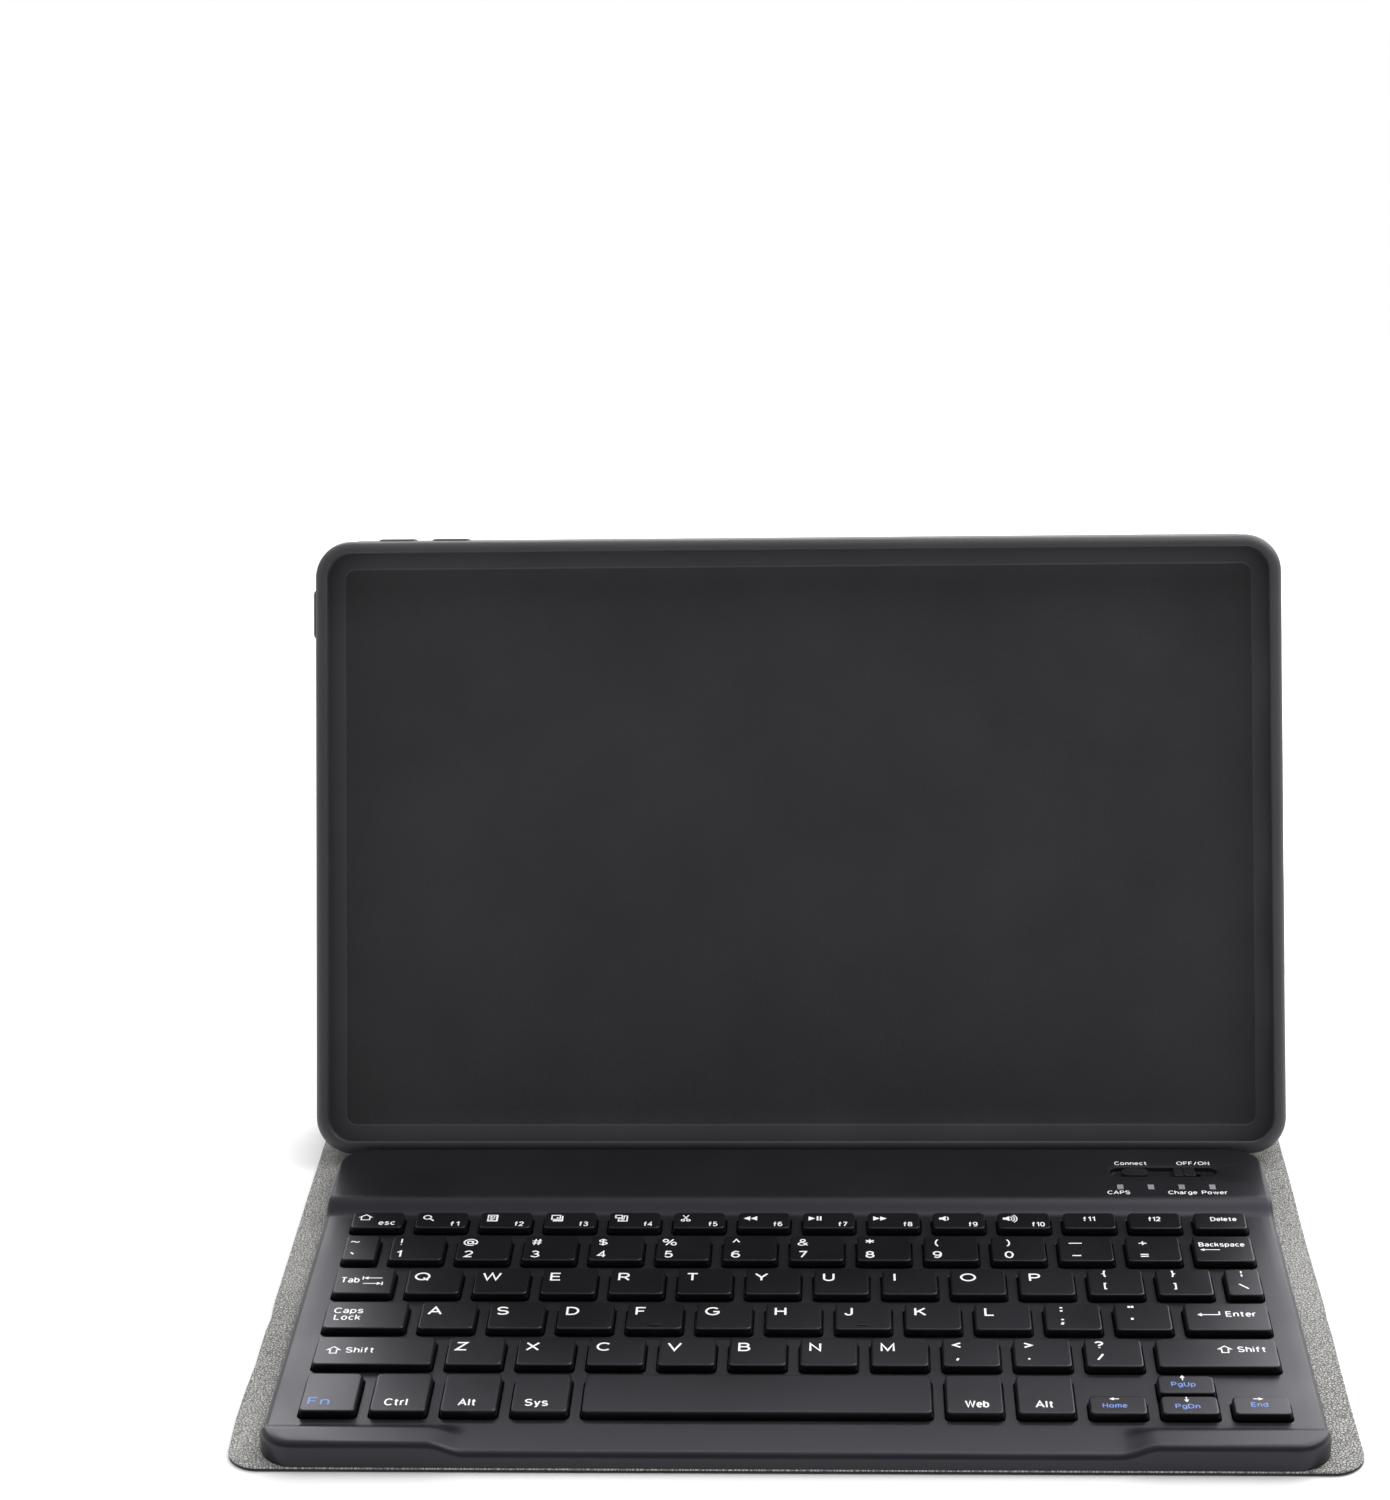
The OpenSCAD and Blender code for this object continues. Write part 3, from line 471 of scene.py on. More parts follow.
def soft_fold(name, axis, angle_a, angle_b, w, lining=True, top=HI):
    """The skin and lining that cross the fold between the panels of two bodies."""
    path, length = bend(axis, angle_a, angle_b, FOLD)
    layers = [("skin", "cover_skin", LO, SPLIT), ("lining", "lining", SPLIT, top)]
    for part, face, lo, hi in layers if lining else [("skin", "cover_skin", LO, HI)]:
        piece = sheet_piece(f"{name}_{part}", FACES[face], path, w, length, lo, hi, step=length / 14)
        cross(piece)


lined("base", straight((FRONT_Y, PANEL_T / 2), 0), COVER_W, BASE_D - FOLD, (LO, SPLIT, HI), "base_front_cover",
      "base_rear_cover", "base_crease_strip", skin={"pressed": True, "dent": crease_under},
      cloth={"dent": crease_over}, r0=BASE_R, rims=(True, False), waver=base_edge)
soft_fold("rear_fold", SPINE_AXIS, 0, 0, COVER_W)
lined("spine", straight(SPINE_AXIS, 0, FOLD), COVER_W, SPINE_L - 2 * FOLD, (LO, SPLIT, HI), "spine_cover")
# The leg's lining is a little thinner, so that it lies flat against the closed tray
LEG_HI = HI - 0.1
soft_fold("leg_fold", LEG_AXIS, 0, LEG_ANGLE, COVER_W, top=LEG_HI)
lined("leg", straight(LEG_AXIS, LEG_ANGLE, FOLD), COVER_W, LEG_L - 2 * FOLD, (LO, SPLIT, LEG_HI), "leg_cover")
soft_fold("tray_fold", TRAY_AXIS, LEG_ANGLE, TRAY_ANGLE, COVER_W)
panel("tray_panel_sheet", "cover_skin", straight(TRAY_AXIS, TRAY_ANGLE, FOLD), COVER_W, PANEL_H - FOLD, LO, HI,
      "tray", "tray_panel", r1=TRAY_R, rims=(False, True), pressed=True)

# The strip over the tray's top edge turns right round, back on itself
up = Vector(heading(TRAY_ANGLE))
behind = Vector((up.y, -up.x))
flap_at = Vector(FLAP_AXIS)
turn_r = (flap_at - Vector(TRAY_AXIS)).dot(behind) / 2
panel_line = flap_at - behind * 2 * turn_r
# Its turn stays below the tray's top edge, so that it doesn't show from the front
TURN_DROP, RISE_STEP, DROP_STEP = 1.75, 0.2, 0.25
turn_up = flap_at - up * TURN_DROP
panel_up = turn_up - behind * 2 * turn_r
pts = [panel_up + up * (-FOLD + i * RISE_STEP) for i in range(round(FOLD / RISE_STEP))]
middle = turn_up - behind * turn_r
pts += [middle - behind * turn_r * c + up * turn_r * s for c, s in map(heading, range(0, 181, 6))]
pts += [turn_up - up * (i * DROP_STEP) for i in range(1, round((FOLD - TURN_DROP) / DROP_STEP) + 1)]
path, length = polyline(pts)
top_fold = sheet_piece("top_fold_skin", skin_mat, path, FLAP_W, length, LO, HI, step=0.4)
a, b = panel_line + behind * (PANEL_T / 2), flap_at - behind * (PANEL_T / 2)
cross(top_fold)

DOWN = TRAY_ANGLE + 180
panel("edge_strip_sheet", "cover_skin", straight(FLAP_AXIS, DOWN, FOLD), FLAP_W, EDGE_L - 2 * FOLD, LO, HI,
      "edge", "edge_strip")
soft_fold("flap_fold", TURN_AXIS, DOWN, DOWN, FLAP_W, lining=False)
lined("flap", straight(TURN_AXIS, DOWN, FOLD), FLAP_W, FLAP_L - FOLD, (-FLAP_T / 2, 0, FLAP_T / 2), "flap_cover",
      skin={"pressed": True}, r1=FLAP_R, rims=(False, True))


# Tray: one elastomer moulding, swept round its outline

# Inset of the middle of the back, and the shallow panel in the tray's floor: inset and depth
BACK_INSET, FLOOR_FILLET = 12.0, 0.8
FLOOR_PANEL = ((7.0, 0.0), (7.15, 0.05), (7.4, 0.2), (7.55, 0.25), (BACK_INSET, 0.25))


def tray_rings():
    out = []

    def ring(inset, z):
        out.append(rounded_ring(TRAY_W - 2 * inset, TRAY_H - 2 * inset, TRAY_R - inset, 14, z))

    def turns(n, degrees, first=0):
        return [heading(degrees * k / n) for k in range(first, n + 1)]

    ring(BACK_INSET, 0.0)
    ring(TRAY_EDGE + 0.4, 0.0)
    for c, s in turns(8, 90):
        ring(TRAY_EDGE - TRAY_EDGE * s, TRAY_EDGE - TRAY_EDGE * c)
    for c, s in turns(10, 90):
        ring(TRAY_EDGE - TRAY_EDGE * c, TRAY_T - TRAY_EDGE + TRAY_EDGE * s)
    lip, tip = TRAY_WALL + LIP_REACH, LIP_T / 2
    for c, s in turns(8, 180):
        ring(lip - tip + tip * s - 0.02, TRAY_T - tip + tip * c)
    ring(TRAY_WALL + 0.3, TRAY_T - LIP_T)
    ring(TRAY_WALL, TRAY_T - LIP_T - 0.3)
    ring(TRAY_WALL, TRAY_BACK + FLOOR_FILLET)
    for c, s in turns(5, 90, 1):
        ring(TRAY_WALL + FLOOR_FILLET - FLOOR_FILLET * c, TRAY_BACK + FLOOR_FILLET - FLOOR_FILLET * s)
    for inset, drop in FLOOR_PANEL:
        ring(inset, TRAY_BACK - drop)
    return out


# The middle of the tray's back: X across, Y up along it, Z out of its open side
tray_at = (Matrix.Translation((0, TRAY_AXIS[0] * MM, TRAY_AXIS[1] * MM)) @ spin(TRAY_ANGLE, "X")
           @ Matrix.Translation((0, (TRAY_H / 2 - FOLD_UP) * MM, PANEL_T / 2 * MM)))
bm = bmesh.new()
loft(bm, tray_rings())
tray = solid("tray_shell", bm, [tray_mat, floor_mat])
for p in tray.data.polygons:
    c = p.center
    if c.z < (TRAY_BACK - 0.1) * MM and abs(p.normal.z) > 0.9 and c.z > 0.5 * MM:
        p.material_index = 1


# Openings in the right wall: places and lengths, their height, and how far up they are
SLOTS, SLOT_H, SLOT_UP = ((0, 21.0), (-44, 19.0), (44, 19.0)), 4.5, 3.75


def slot_cutter(at, length):
    """A rounded bar through the right wall, a little wider outside."""
    bm = bmesh.new()
    rings = []
    for out, grow in ((-5, 0.0), (-0.5, 0.0), (0.4, 0.7), (3, 0.7)):
        ring = rounded_ring(SLOT_H + 2 * grow, length + 2 * grow, SLOT_H / 2 + grow, 10, 0)
        rings.append([(TRAY_W / 2 + out, at + p[1], TRAY_BACK + SLOT_UP - p[0]) for p in ring])
    loft(bm, rings)
    return solid("slot_cut", bm, tray_mat)


def cut(obj, cutter, operation="DIFFERENCE"):
    mod = obj.modifiers.new("cut", "BOOLEAN")
    mod.operation, mod.solver, mod.object = operation, "EXACT", cutter
    bpy.context.view_layer.update()
    mesh = bpy.data.meshes.new_from_object(obj.evaluated_get(bpy.context.evaluated_depsgraph_get()))
    obj.modifiers.clear()
    obj.data = mesh
    bpy.data.objects.remove(cutter)


for at, length in SLOTS:
    cut(tray, slot_cutter(at, length))
tray.matrix_world = tray_at
ride(tray, "tray", "tray", "tablet_tray")


# Button pads over the tablet's keys: each height, and growth of the outline there
PAD_W, PAD_R = 4.5, 1.2
PAD_SIDE = ((-1.0, 0.5), (0.0, 0.3), (0.3, 0.05), (0.5, -0.15), (0.6, -0.5), (0.6, -0.7), (0.5, -1.0), (0.5, -1.3))
VOLUME_L, VOLUME_INSET, VOLUME_STEP = 10.3, 17.5, 14.6
POWER_L, POWER_INSET = 12.8, 13.5


def pad(name, length, turn, x, y):
    """A raised pad on the outside of the tray's wall."""
    bm = bmesh.new()
    prism(bm, 0, 0, length, PAD_W, PAD_R, PAD_SIDE, 8)
    obj = solid(name, bm, tray_mat)
    obj.matrix_world = (tray_at @ Matrix.Translation((x * MM, y * MM, TRAY_T / 2 * MM)) @ spin(turn, "Z")
                        @ spin(-90, "X"))
    ride(obj, "tray", "tray")


volume_x = -TRAY_W / 2 + VOLUME_INSET + VOLUME_L / 2
pad("volume_pad_a", VOLUME_L, 0, volume_x, TRAY_H / 2)
pad("volume_pad_b", VOLUME_L, 0, volume_x + VOLUME_STEP, TRAY_H / 2)
pad("power_pad", POWER_L, 90, -TRAY_W / 2, TRAY_H / 2 - POWER_INSET - POWER_L / 2)


# Keys: rows from the rear, with front edge, depth and cell widths

UNIT = FIELD_W / FIELD_UNITS
FIELD_Y = FRONT_Y + 12.8
TOP_ROW_D, ROW_D, SPACE_ROW_D = 12.2, 16.7, 20.6
ROW_FRONT = [FIELD_Y + SPACE_ROW_D + r * ROW_D for r in (4, 3, 2, 1, 0)] + [FIELD_Y]
ROW_DEPTH = [TOP_ROW_D] + [ROW_D] * 4 + [SPACE_ROW_D]
CELLS = [[FIELD_W / 14] * 14]
for first, count in ((0.706, 12), (1.07, 12), (1.382, 11), (1.888, 10)):
    CELLS.append([first * UNIT] + [UNIT] * count + [(FIELD_UNITS - first - count) * UNIT])
LOW_UNITS = 0.976
CELLS.append([LOW_UNITS * UNIT] * 4 + [(FIELD_UNITS - 9 * LOW_UNITS) * UNIT] + [LOW_UNITS * UNIT] * 5)

# Keys of each node: row, place in it, and which half of the row's depth (0 for all of it)
KEY_NODES = {}
for row, groups in enumerate((
        (("esc_key", 1), ("function_keys", 12), ("delete_key", 1)), (("number_keys", 13), ("backspace_key", 1)),
        (("tab_key", 1), ("top_letter_keys", 13)), (("caps_lock_key", 1), ("home_letter_keys", 11), ("enter_key", 1)),
        (("left_shift_key", 1), ("bottom_letter_keys", 10), ("right_shift_key", 1)),
        [(name, 1) for name in ("fn_key", "ctrl_key", "left_alt_key", "system_key", "space_bar", "browser_key",
                                "right_alt_key")])):
    at = 0
    for name, count in groups:
        KEY_NODES[name] = [(row, at + i, 0) for i in range(count)]
        at += count
KEY_NODES |= {"left_arrow_key": [(5, 7, -1)], "up_arrow_key": [(5, 8, 1)], "down_arrow_key": [(5, 8, -1)],
              "right_arrow_key": [(5, 9, -1)]}


def key_rect(row, i, half):
    """Middle and size of a key's top."""
    w = CELLS[row][i] - KEY_GAP_X
    x = -FIELD_W / 2 + sum(CELLS[row][:i]) + CELLS[row][i] / 2
    d = ROW_DEPTH[row] - KEY_GAP_Y
    y = ROW_FRONT[row] + ROW_DEPTH[row] / 2
    if half:
        d = (d - ARROW_GAP) / 2
        y += half * (d + ARROW_GAP) / 2
    return x, y, w, d


def cap(bm, x, y, w, d):
    """A shell open at its foot, with flared sides and a rounded top edge."""
    def ring(grow, z, r):
        return rounded_ring(w + 2 * grow, d + 2 * grow, r, 6, z, x, y)
    lean = KEY_SPREAD * KEY_BEVEL / 2
    rings = [ring(-KEY_WALL, KEY_TOP_Z - KEY_WALL, KEY_INNER_R),
             ring(KEY_SPREAD - KEY_WALL, KEY_FOOT_Z, KEY_INNER_R),
             ring(KEY_SPREAD, KEY_FOOT_Z, KEY_R), ring(lean, KEY_TOP_Z - KEY_BEVEL, KEY_R)]
    for k in range(1, 7):
        c, s = heading(90 * k / 6)
        rings.append(ring(lean - (KEY_BEVEL + lean) * (1 - c), KEY_TOP_Z - KEY_BEVEL + KEY_BEVEL * s,
                          KEY_R - KEY_BEVEL * (1 - c)))
    rings.append(ring(-KEY_BEVEL - 0.12, KEY_TOP_Z, KEY_R - KEY_BEVEL - 0.1))
    loft(bm, rings)


# Raised bars on F and J: each height, and growth there
MARK_L, MARK_W, MARK_SIDE = 3.1, 0.7, ((-0.1, 0.02), (0.12, 0.0), (0.24, -0.08), (0.3, -0.2))
for name, places in KEY_NODES.items():
    bm = bmesh.new()
    for spot in places:
        cap(bm, *key_rect(*spot))
    for x, y, w, d in [key_rect(*spot) for spot in places if spot in ((3, 4, 0), (3, 7, 0))]:
        prism(bm, x - 0.1, y - d / 2 + 1.7, MARK_L, MARK_W, MARK_W / 2, [(KEY_TOP_Z + z, g) for z, g in MARK_SIDE])
    ride(solid(name + "_caps", bm, key_mat), name + "_body", "key_plastic", name)


# Rubber domes under the caps

DOME_H = KEY_TOP_Z - KEY_WALL - 0.1 - DOME_Z
DOME_SIDE = ((3.0, 0.0), (2.9, 0.3), (2.45, 0.6), (1.75, DOME_H - 0.9), (1.5, DOME_H - 0.6), (1.4, DOME_H))
for name, places in KEY_NODES.items():
    bm = bmesh.new()
    for spot in places:
        x, y, w, d = key_rect(*spot)
        loft(bm, [rounded_ring(2 * r, 2 * r, r, 4, DOME_Z + z, x, y) for r, z in DOME_SIDE])
    domes = solid(name + "_domes", bm, dome_mat)
    ride(domes, "base", "dome_rubber", "rubber_domes")
    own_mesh(domes)


# Printed legends: thin solids of ink on the caps and the deck, lettered in plain strokes

INK = 0.02
# Strokes that cross lie one above the other by this much
LAYER = 0.006
# Width of the pen and gap between signs, with the height of a capital as 1
STROKE, GAP = 0.138, 0.17
# Drawings to be filled, and the points and faces of ink for each node and colour
drawings, inks = [], {}


def arc_points(cx, cy, rx, ry, a0, a1):
    """Points along an ellipse, between two angles."""
    n = max(3, round(abs(a1 - a0) / 15))
    return [(cx + rx * c, cy + ry * s) for c, s in (heading(a0 + (a1 - a0) * i / n) for i in range(n + 1))]


def lines(text):
    """Lines of points from text in hundredths: "x,y" is a point and "x,y,rx,ry,from,to" an arc."""
    out = []
    for part in text.split("/"):
        out.append([])
        for mark in part.split():
            v = [float(n) for n in mark.split(",")]
            size = [n / 100 for n in v[:4]]
            out[-1] += arc_points(*size, *v[4:]) if len(v) > 2 else [tuple(size)]
    return out


# Strokes of each sign, with the height of a capital as 100
SIGNS = {ch: lines(text) for ch, text in {
    "A": "0,0 40,100 80,0 / 13,34 67,34",
    "B": "0,53 0,100 36,100 36,76.5,21,23.5,90,-90 0,53 / 0,53 38,53 38,26.5,25,26.5,90,-90 0,0 0,53",
    "C": "42,50,42,50,45,315", "D": "0,0 0,100 28,100 28,50,42,50,90,-90 0,0",
    "E": "58,100 0,100 0,0 60,0 / 0,52 54,52", "F": "56,100 0,100 0,0 / 0,50 48,50",
    "G": "43,50,43,50,45,330 80,45 46,45", "H": "0,0 0,100 / 62,0 62,100 / 0,52 62,52", "I": "0,0 0,100",
    "J": "40,100 40,27 20,25,20,25,0,-180", "K": "0,0 0,100 / 60,100 0,38 / 22,58 64,0", "L": "0,100 0,0 52,0",
    "M": "0,0 0,100 38,8 76,100 76,0", "N": "0,0 0,100 62,0 62,100", "O": "45,50,45,50,0,360",
    "P": "0,0 0,100 36,100 36,73,25,27,90,-90 0,46", "Q": "45,50,45,50,0,360 / 52,28 86,-6",
    "R": "0,0 0,100 36,100 36,73,25,27,90,-90 0,46 / 34,46 64,0", "S": "33,75,31,25,25,270 33,25,33,25,90,-155",
    "T": "0,100 66,100 / 33,100 33,0", "U": "0,100 0,31 31,31,31,31,180,360 62,100", "V": "0,100 39,0 78,100",
    "W": "0,100 28,0 56,100 84,0 112,100", "X": "0,0 74,100 / 0,100 74,0", "Y": "0,100 38,44 76,100 / 38,44 38,0",
    "Z": "3,100 64,100 0,0 66,0", "a": "25,50,23,23,150,0 48,0 / 24,20,24,20,0,360",
    "b": "0,100 0,0 / 27,36.5,27,36.5,0,360", "c": "28,36.5,28,36.5,50,310",
    "d": "54,100 54,0 / 27,36.5,27,36.5,0,360", "e": "2,38 54,38 28,36.5,26,36.5,15,315",
    "f": "16,0 16,80 34,80,18,20,180,90 / 0,68 38,68",
    "g": "27,36.5,27,36.5,0,360 / 54,73 54,-5 28,-5,26,22,0,-160", "h": "0,0 0,100 / 0,42 25,46,25,27,180,0 50,0",
    "i": "0,0 0,72 / 0,92 0,102", "k": "0,0 0,100 / 44,72 0,28 / 17,44 48,0", "l": "0,0 0,100",
    "m": "0,0 0,72 / 0,46 20,50,20,23,180,0 40,0 / 40,46 60,50,20,23,180,0 80,0",
    "n": "0,0 0,72 / 0,42 25,46,25,27,180,0 50,0", "o": "28,36.5,28,36.5,0,360",
    "p": "0,-27 0,73 / 27,36.5,27,36.5,0,360", "r": "0,0 0,72 / 0,42 24,46,24,27,180,75",
    "s": "25,55,23,18,25,270 25,18,25,19,90,-155", "t": "17,95 17,19 34,17,17,17,180,270 / 0,70 38,70",
    "w": "0,72 20,0 40,72 60,0 80,72", "y": "0,72 25,0 / 50,72 20,-20 6,-25", "0": "27,50,27,50,0,360",
    "1": "0,76 25,100 25,0", "2": "27,72,26,28,170,-30 0,0 54,0", "3": "25,75,23,25,155,-90 25,25,28,25,90,-160",
    "4": "40,0 40,100 0,28 56,28", "5": "48,100 10,100 5,50 26,32,27,32,130,-150",
    "6": "27,31,27,31,0,360 / 30,52,30,48,50,180 0,31", "7": "0,100 52,100 17,0",
    "8": "27,75.5,23,24.5,0,360 / 27,26,27,26,0,360", "~": "0,42 10,56 22,56 40,42 52,42 62,56", "`": "0,75 24,42",
    "!": "0,100 0,30 / 0,-1 0,8", "@": "50,42,50,52,-40,300 / 46,42,20,24,0,360 / 68,66 68,30 79,30,11,12,180,340",
    "#": "14,0 26,100 / 46,0 58,100 / 0,68 70,68 / 0,32 68,32",
    "$": "29,71,27,20,25,270 29,29,29,20,90,-155 / 29,106 29,-8",
    "%": "18,76,18,24,0,360 / 80,24,18,24,0,360 / 22,0 76,100", "^": "0,50 24,100 48,50",
    "&": "70,0 20,66 33,80,17,20,210,-45 10,40 26,22,26,22,150,320 66,44",
    "*": "30,36 30,104 / 0,53 60,87 / 0,87 60,53", "(": "50,44,50,72,130,230", "_": "0,40 98,40", "-": "0,36 66,36",
    "+": "0,42 60,42 / 30,12 30,72", "=": "0,58 60,58 / 0,24 60,24",
    "{": "28,110 16,106 14,95 14,60 8,48 0,44 8,40 14,28 14,-6 16,-17 28,-22", "[": "20,110 0,110 0,-20 20,-20",
    "|": "0,110 0,62 / 0,30 0,-18", "\\": "0,100 85,-10", ":": "0,56 0,76 / 0,0 0,20",
    ";": "0,56 0,76 / 2,18 -8,-20", "\"": "0,100 0,68 / 24,100 24,68", "'": "0,100 0,66", "<": "52,76 0,40 52,4",
    ">": "0,76 52,40 0,4", ",": "0,16 -10,-20", ".": "0,0 0,20",
    "?": "25,74,25,26,165,-35 26,42 26,28 / 26,-2 26,8", "/": "0,0 42,95"}.items()}
SIGNS["9"] = [[(0.54 - x, 1 - y) for x, y in st] for st in SIGNS["6"]]
for ch, other, width in ((")", "(", 0.2), ("}", "{", 0.28), ("]", "[", 0.2)):
    SIGNS[ch] = [[(width - x, y) for x, y in st] for st in SIGNS[other]]


def stroke_solid(verts, polys, pts, t, z):
    """Adds a flat ribbon of ink along points, in millimetres. An open one climbs by a layer on its way."""
    closed = len(pts) > 3 and math.dist(pts[0], pts[-1]) < 1e-6
    pts = [Vector(p) for p in pts]
    kept = [pts[0]]
    for p in pts[1:]:
        if (p - kept[-1]).length > 1e-4:
            kept.append(p)
    if closed:
        kept = kept[:-1]
    n = len(kept)
    first = len(verts)
    for i, p in enumerate(kept):
        before = kept[i - 1] if i or closed else None
        after = kept[(i + 1) % n] if i < n - 1 or closed else None
        dirs = [d.normalized() for d in ((p - before) if before else None, (after - p) if after else None) if d]
        sides = [Vector((-d.y, d.x)) for d in dirs]
        m = sum(sides, Vector((0, 0)))
        m = m.normalized() if m.length > 1e-3 else sides[0]
        reach = t / 2 / max(0.45, m.dot(sides[0]))
        for sign in (1, -1):
            q = p + sign * reach * m
            climb = 0 if closed else LAYER * i / (n - 1)
            for h in (INK + climb, -INK):
                verts.append((q.x * MM, q.y * MM, (z + h) * MM))
    for i in range(n if closed else n - 1):
        a, b = first + 4 * i, first + 4 * ((i + 1) % n)
        polys += [(a, a + 2, b + 2, b), (a + 1, b + 1, b + 3, a + 3),
                  (a, b, b + 1, a + 1), (a + 2, a + 3, b + 3, b + 2)]
    if not closed:
        a, b = first, first + 4 * (n - 1)
        polys += [(a, a + 1, a + 3, a + 2), (b, b + 2, b + 3, b + 1)]


def word(node, text, x, y, cap_h, width=None, colour="white", align="left", z=KEY_TOP_Z, weight=1.0):
    """A word with its ink's left edge (or middle) at x and its baseline at y, in millimetres."""
    t = STROKE * weight
    laid, layers, at = [], [], 0.0
    for ch in text:
        strokes = SIGNS[ch]
        low = min(p[0] for st in strokes for p in st)
        laid += [[(at + p[0] - low, p[1]) for p in st] for st in strokes]
        layers += range(len(strokes))
        at = max(p[0] for st in laid for p in st) + t + GAP
    reach = max(p[0] for st in laid for p in st)
    pen = t * cap_h
    across = (width - pen) / max(reach, 1e-6) if width else cap_h
    left = x + pen / 2 if align == "left" else x - reach * across / 2
    verts, polys = inks.setdefault((node, colour), ([], []))
    for k, st in zip(layers, laid):
        pts = [(left + px * across, y + pen / 2 + py * (cap_h - pen)) for px, py in st]
        stroke_solid(verts, polys, pts, pen, z + k * LAYER)


def icon(node, loops, x, y, scale=1.0):
    """A filled drawing in millimetres round its own middle; a loop inside another is a hole."""
    data = bpy.data.curves.new("ink", "CURVE")
    data.dimensions, data.fill_mode, data.extrude = "2D", "BOTH", 0.1
    for pts in loops:
        spline = data.splines.new("POLY")
        spline.points.add(len(pts) - 1)
        for p, q in zip(spline.points, pts):
            p.co = (*q, 0, 1)
        spline.use_cyclic_u = True
    obj = bpy.data.objects.new("ink", data)
    scene.collection.objects.link(obj)
    drawings.append((obj, node, x, y, scale))


def bar(x0, y0, x1, y1, t):
    d = Vector((x1 - x0, y1 - y0)).normalized() * t / 2
    return [(x0 - d.y, y0 + d.x), (x0 + d.y, y0 - d.x), (x1 + d.y, y1 - d.x), (x1 - d.y, y1 + d.x)]


def circle(x, y, r):
    return arc_points(x, y, r, r, 0, 360)[:-1]


def turned(loops, degrees):
    c, s = heading(degrees)
    return [[(x * c - y * s, x * s + y * c) for x, y in loop] for loop in loops]


def arrow(length, t=0.32, head=0.75):
    """An arrow to the right, round its middle."""
    a, b = -length / 2, length / 2
    return [[(a, -t / 2), (b - 1.1, -t / 2), (b - 1.1, -head), (b, 0), (b - 1.1, head), (b - 1.1, t / 2), (a, t / 2)]]


def arc_loop(x, r, t, half):
    """A curved band round a point on the middle line."""
    turns = [heading(-half + 2 * half * i / 8) for i in range(9)]
    outer = [(x + (r + t / 2) * c, (r + t / 2) * s) for c, s in turns]
    return outer + [(x + (r - t / 2) * c, (r - t / 2) * s) for c, s in reversed(turns)]


def boxes(*corners):
    return [[(x0, y0), (x1, y0), (x1, y1), (x0, y1)] for x0, y0, x1, y1 in corners]


HOUSE = lines("-190,0 0,165 190,0 125,0 125,-140 -125,-140 -125,0"
              " / -100,30 0,120 100,30 95,30 95,-110 -95,-110 -95,30")
SEARCH = [circle(-0.3, 0.4, 1.15), circle(-0.3, 0.4, 0.78), bar(0.55, -0.45, 1.45, -1.45, 0.42)]
PAGE = boxes((-1.35, -1.7, 1.4, 1.7), (-1.0, -1.15, 0.9, 1.35), (-0.72, 0.35, -0.1, 1.05), (0.15, 0.35, 0.6, 1.05),
             (-0.72, -0.35, 0.6, 0.0), (-0.72, -0.9, 0.2, -0.62))
SHEETS = boxes((-1.5, -0.8, 1.0, 1.7), (-1.15, -0.4, 0.65, 1.3), (-0.1, -0.15, 0.45, 0.45)) + lines(
    "120,120 165,120 165,-165 -100,-165 -100,-105 120,-105")
CLIP = boxes((-1.65, 0.05, 0.35, 1.75), (-1.3, 0.42, 0.0, 1.4)) + lines(
    "55,140 170,140 170,-170 -85,-170 -85,-15 55,-15 / 85,105 135,105 135,-130 -50,-130 -50,-50 85,-50"
    " / -20,-115 100,-115 45,-65")
SCISSORS = [circle(x, -1.05, r) for x in (-0.7, 0.7) for r in (0.6, 0.28)] + [
    bar(*ends, 0.32) for ends in ((-0.42, -0.42, 0.75, 1.6), (0.42, -0.42, 0.12, 0.1), (-0.2, 0.62, -0.75, 1.6))]
NEXT = lines("-175,-110 -5,0 -175,110 / 5,-110 175,0 5,110")
PREVIOUS = turned(NEXT, 180)
PLAY = lines("-170,-110 0,0 -170,110") + boxes((0.4, -1.1, 0.85, 1.1), (1.2, -1.1, 1.65, 1.1))
CONE = lines("-150,-50 -75,-50 20,-130 20,130 -75,50 -150,50")[0]
QUIET = [CONE, arc_loop(-0.4, 1.25, 0.32, 45)]
LOUD = [[(x - 0.35, y) for x, y in CONE]] + [arc_loop(-0.75, r, 0.3, 48) for r in (1.25, 1.9, 2.55)]
SHIFT = lines("-190,0 0,175 190,0 95,0 95,-160 -95,-160 -95,0"
              " / -110,32 0,130 110,32 62,32 62,-128 -62,-128 -62,32")
TAB_LEFT = turned(arrow(4.6), 180) + [bar(-2.55, -0.8, -2.55, 0.8, 0.32)]
TAB_RIGHT = arrow(4.6) + [bar(2.55, -0.8, 2.55, 0.8, 0.32)]
BACK = turned(arrow(5.0, 0.28, 0.6), 180)
RETURN = lines("-280,-30 -170,50 -170,-13 245,-13 245,120 280,120 280,-47 -170,-47 -170,-110")


def left_rear(spot):
    x, y, w, d = key_rect(*spot)
    return x - w / 2, y + d / 2, y - d / 2


# Letters sit at the left rear of their caps, and drift a little along each row
LETTER_H, LETTER_X, LETTER_Y, LETTER_DRIFT = 3.8, 1.6, 6.2, 0.08
for node, row, letters in (("top_letter_keys", 2, "QWERTYUIOP"), ("home_letter_keys", 3, "ASDFGHJKL"),
                           ("bottom_letter_keys", 4, "ZXCVBNM")):
    for i, ch in enumerate(letters):
        x, rear, front = left_rear((row, i + 1, 0))
        word(node, ch, x + LETTER_X + LETTER_DRIFT * i + (0.5 if ch == "I" else 0), rear - LETTER_Y, LETTER_H)

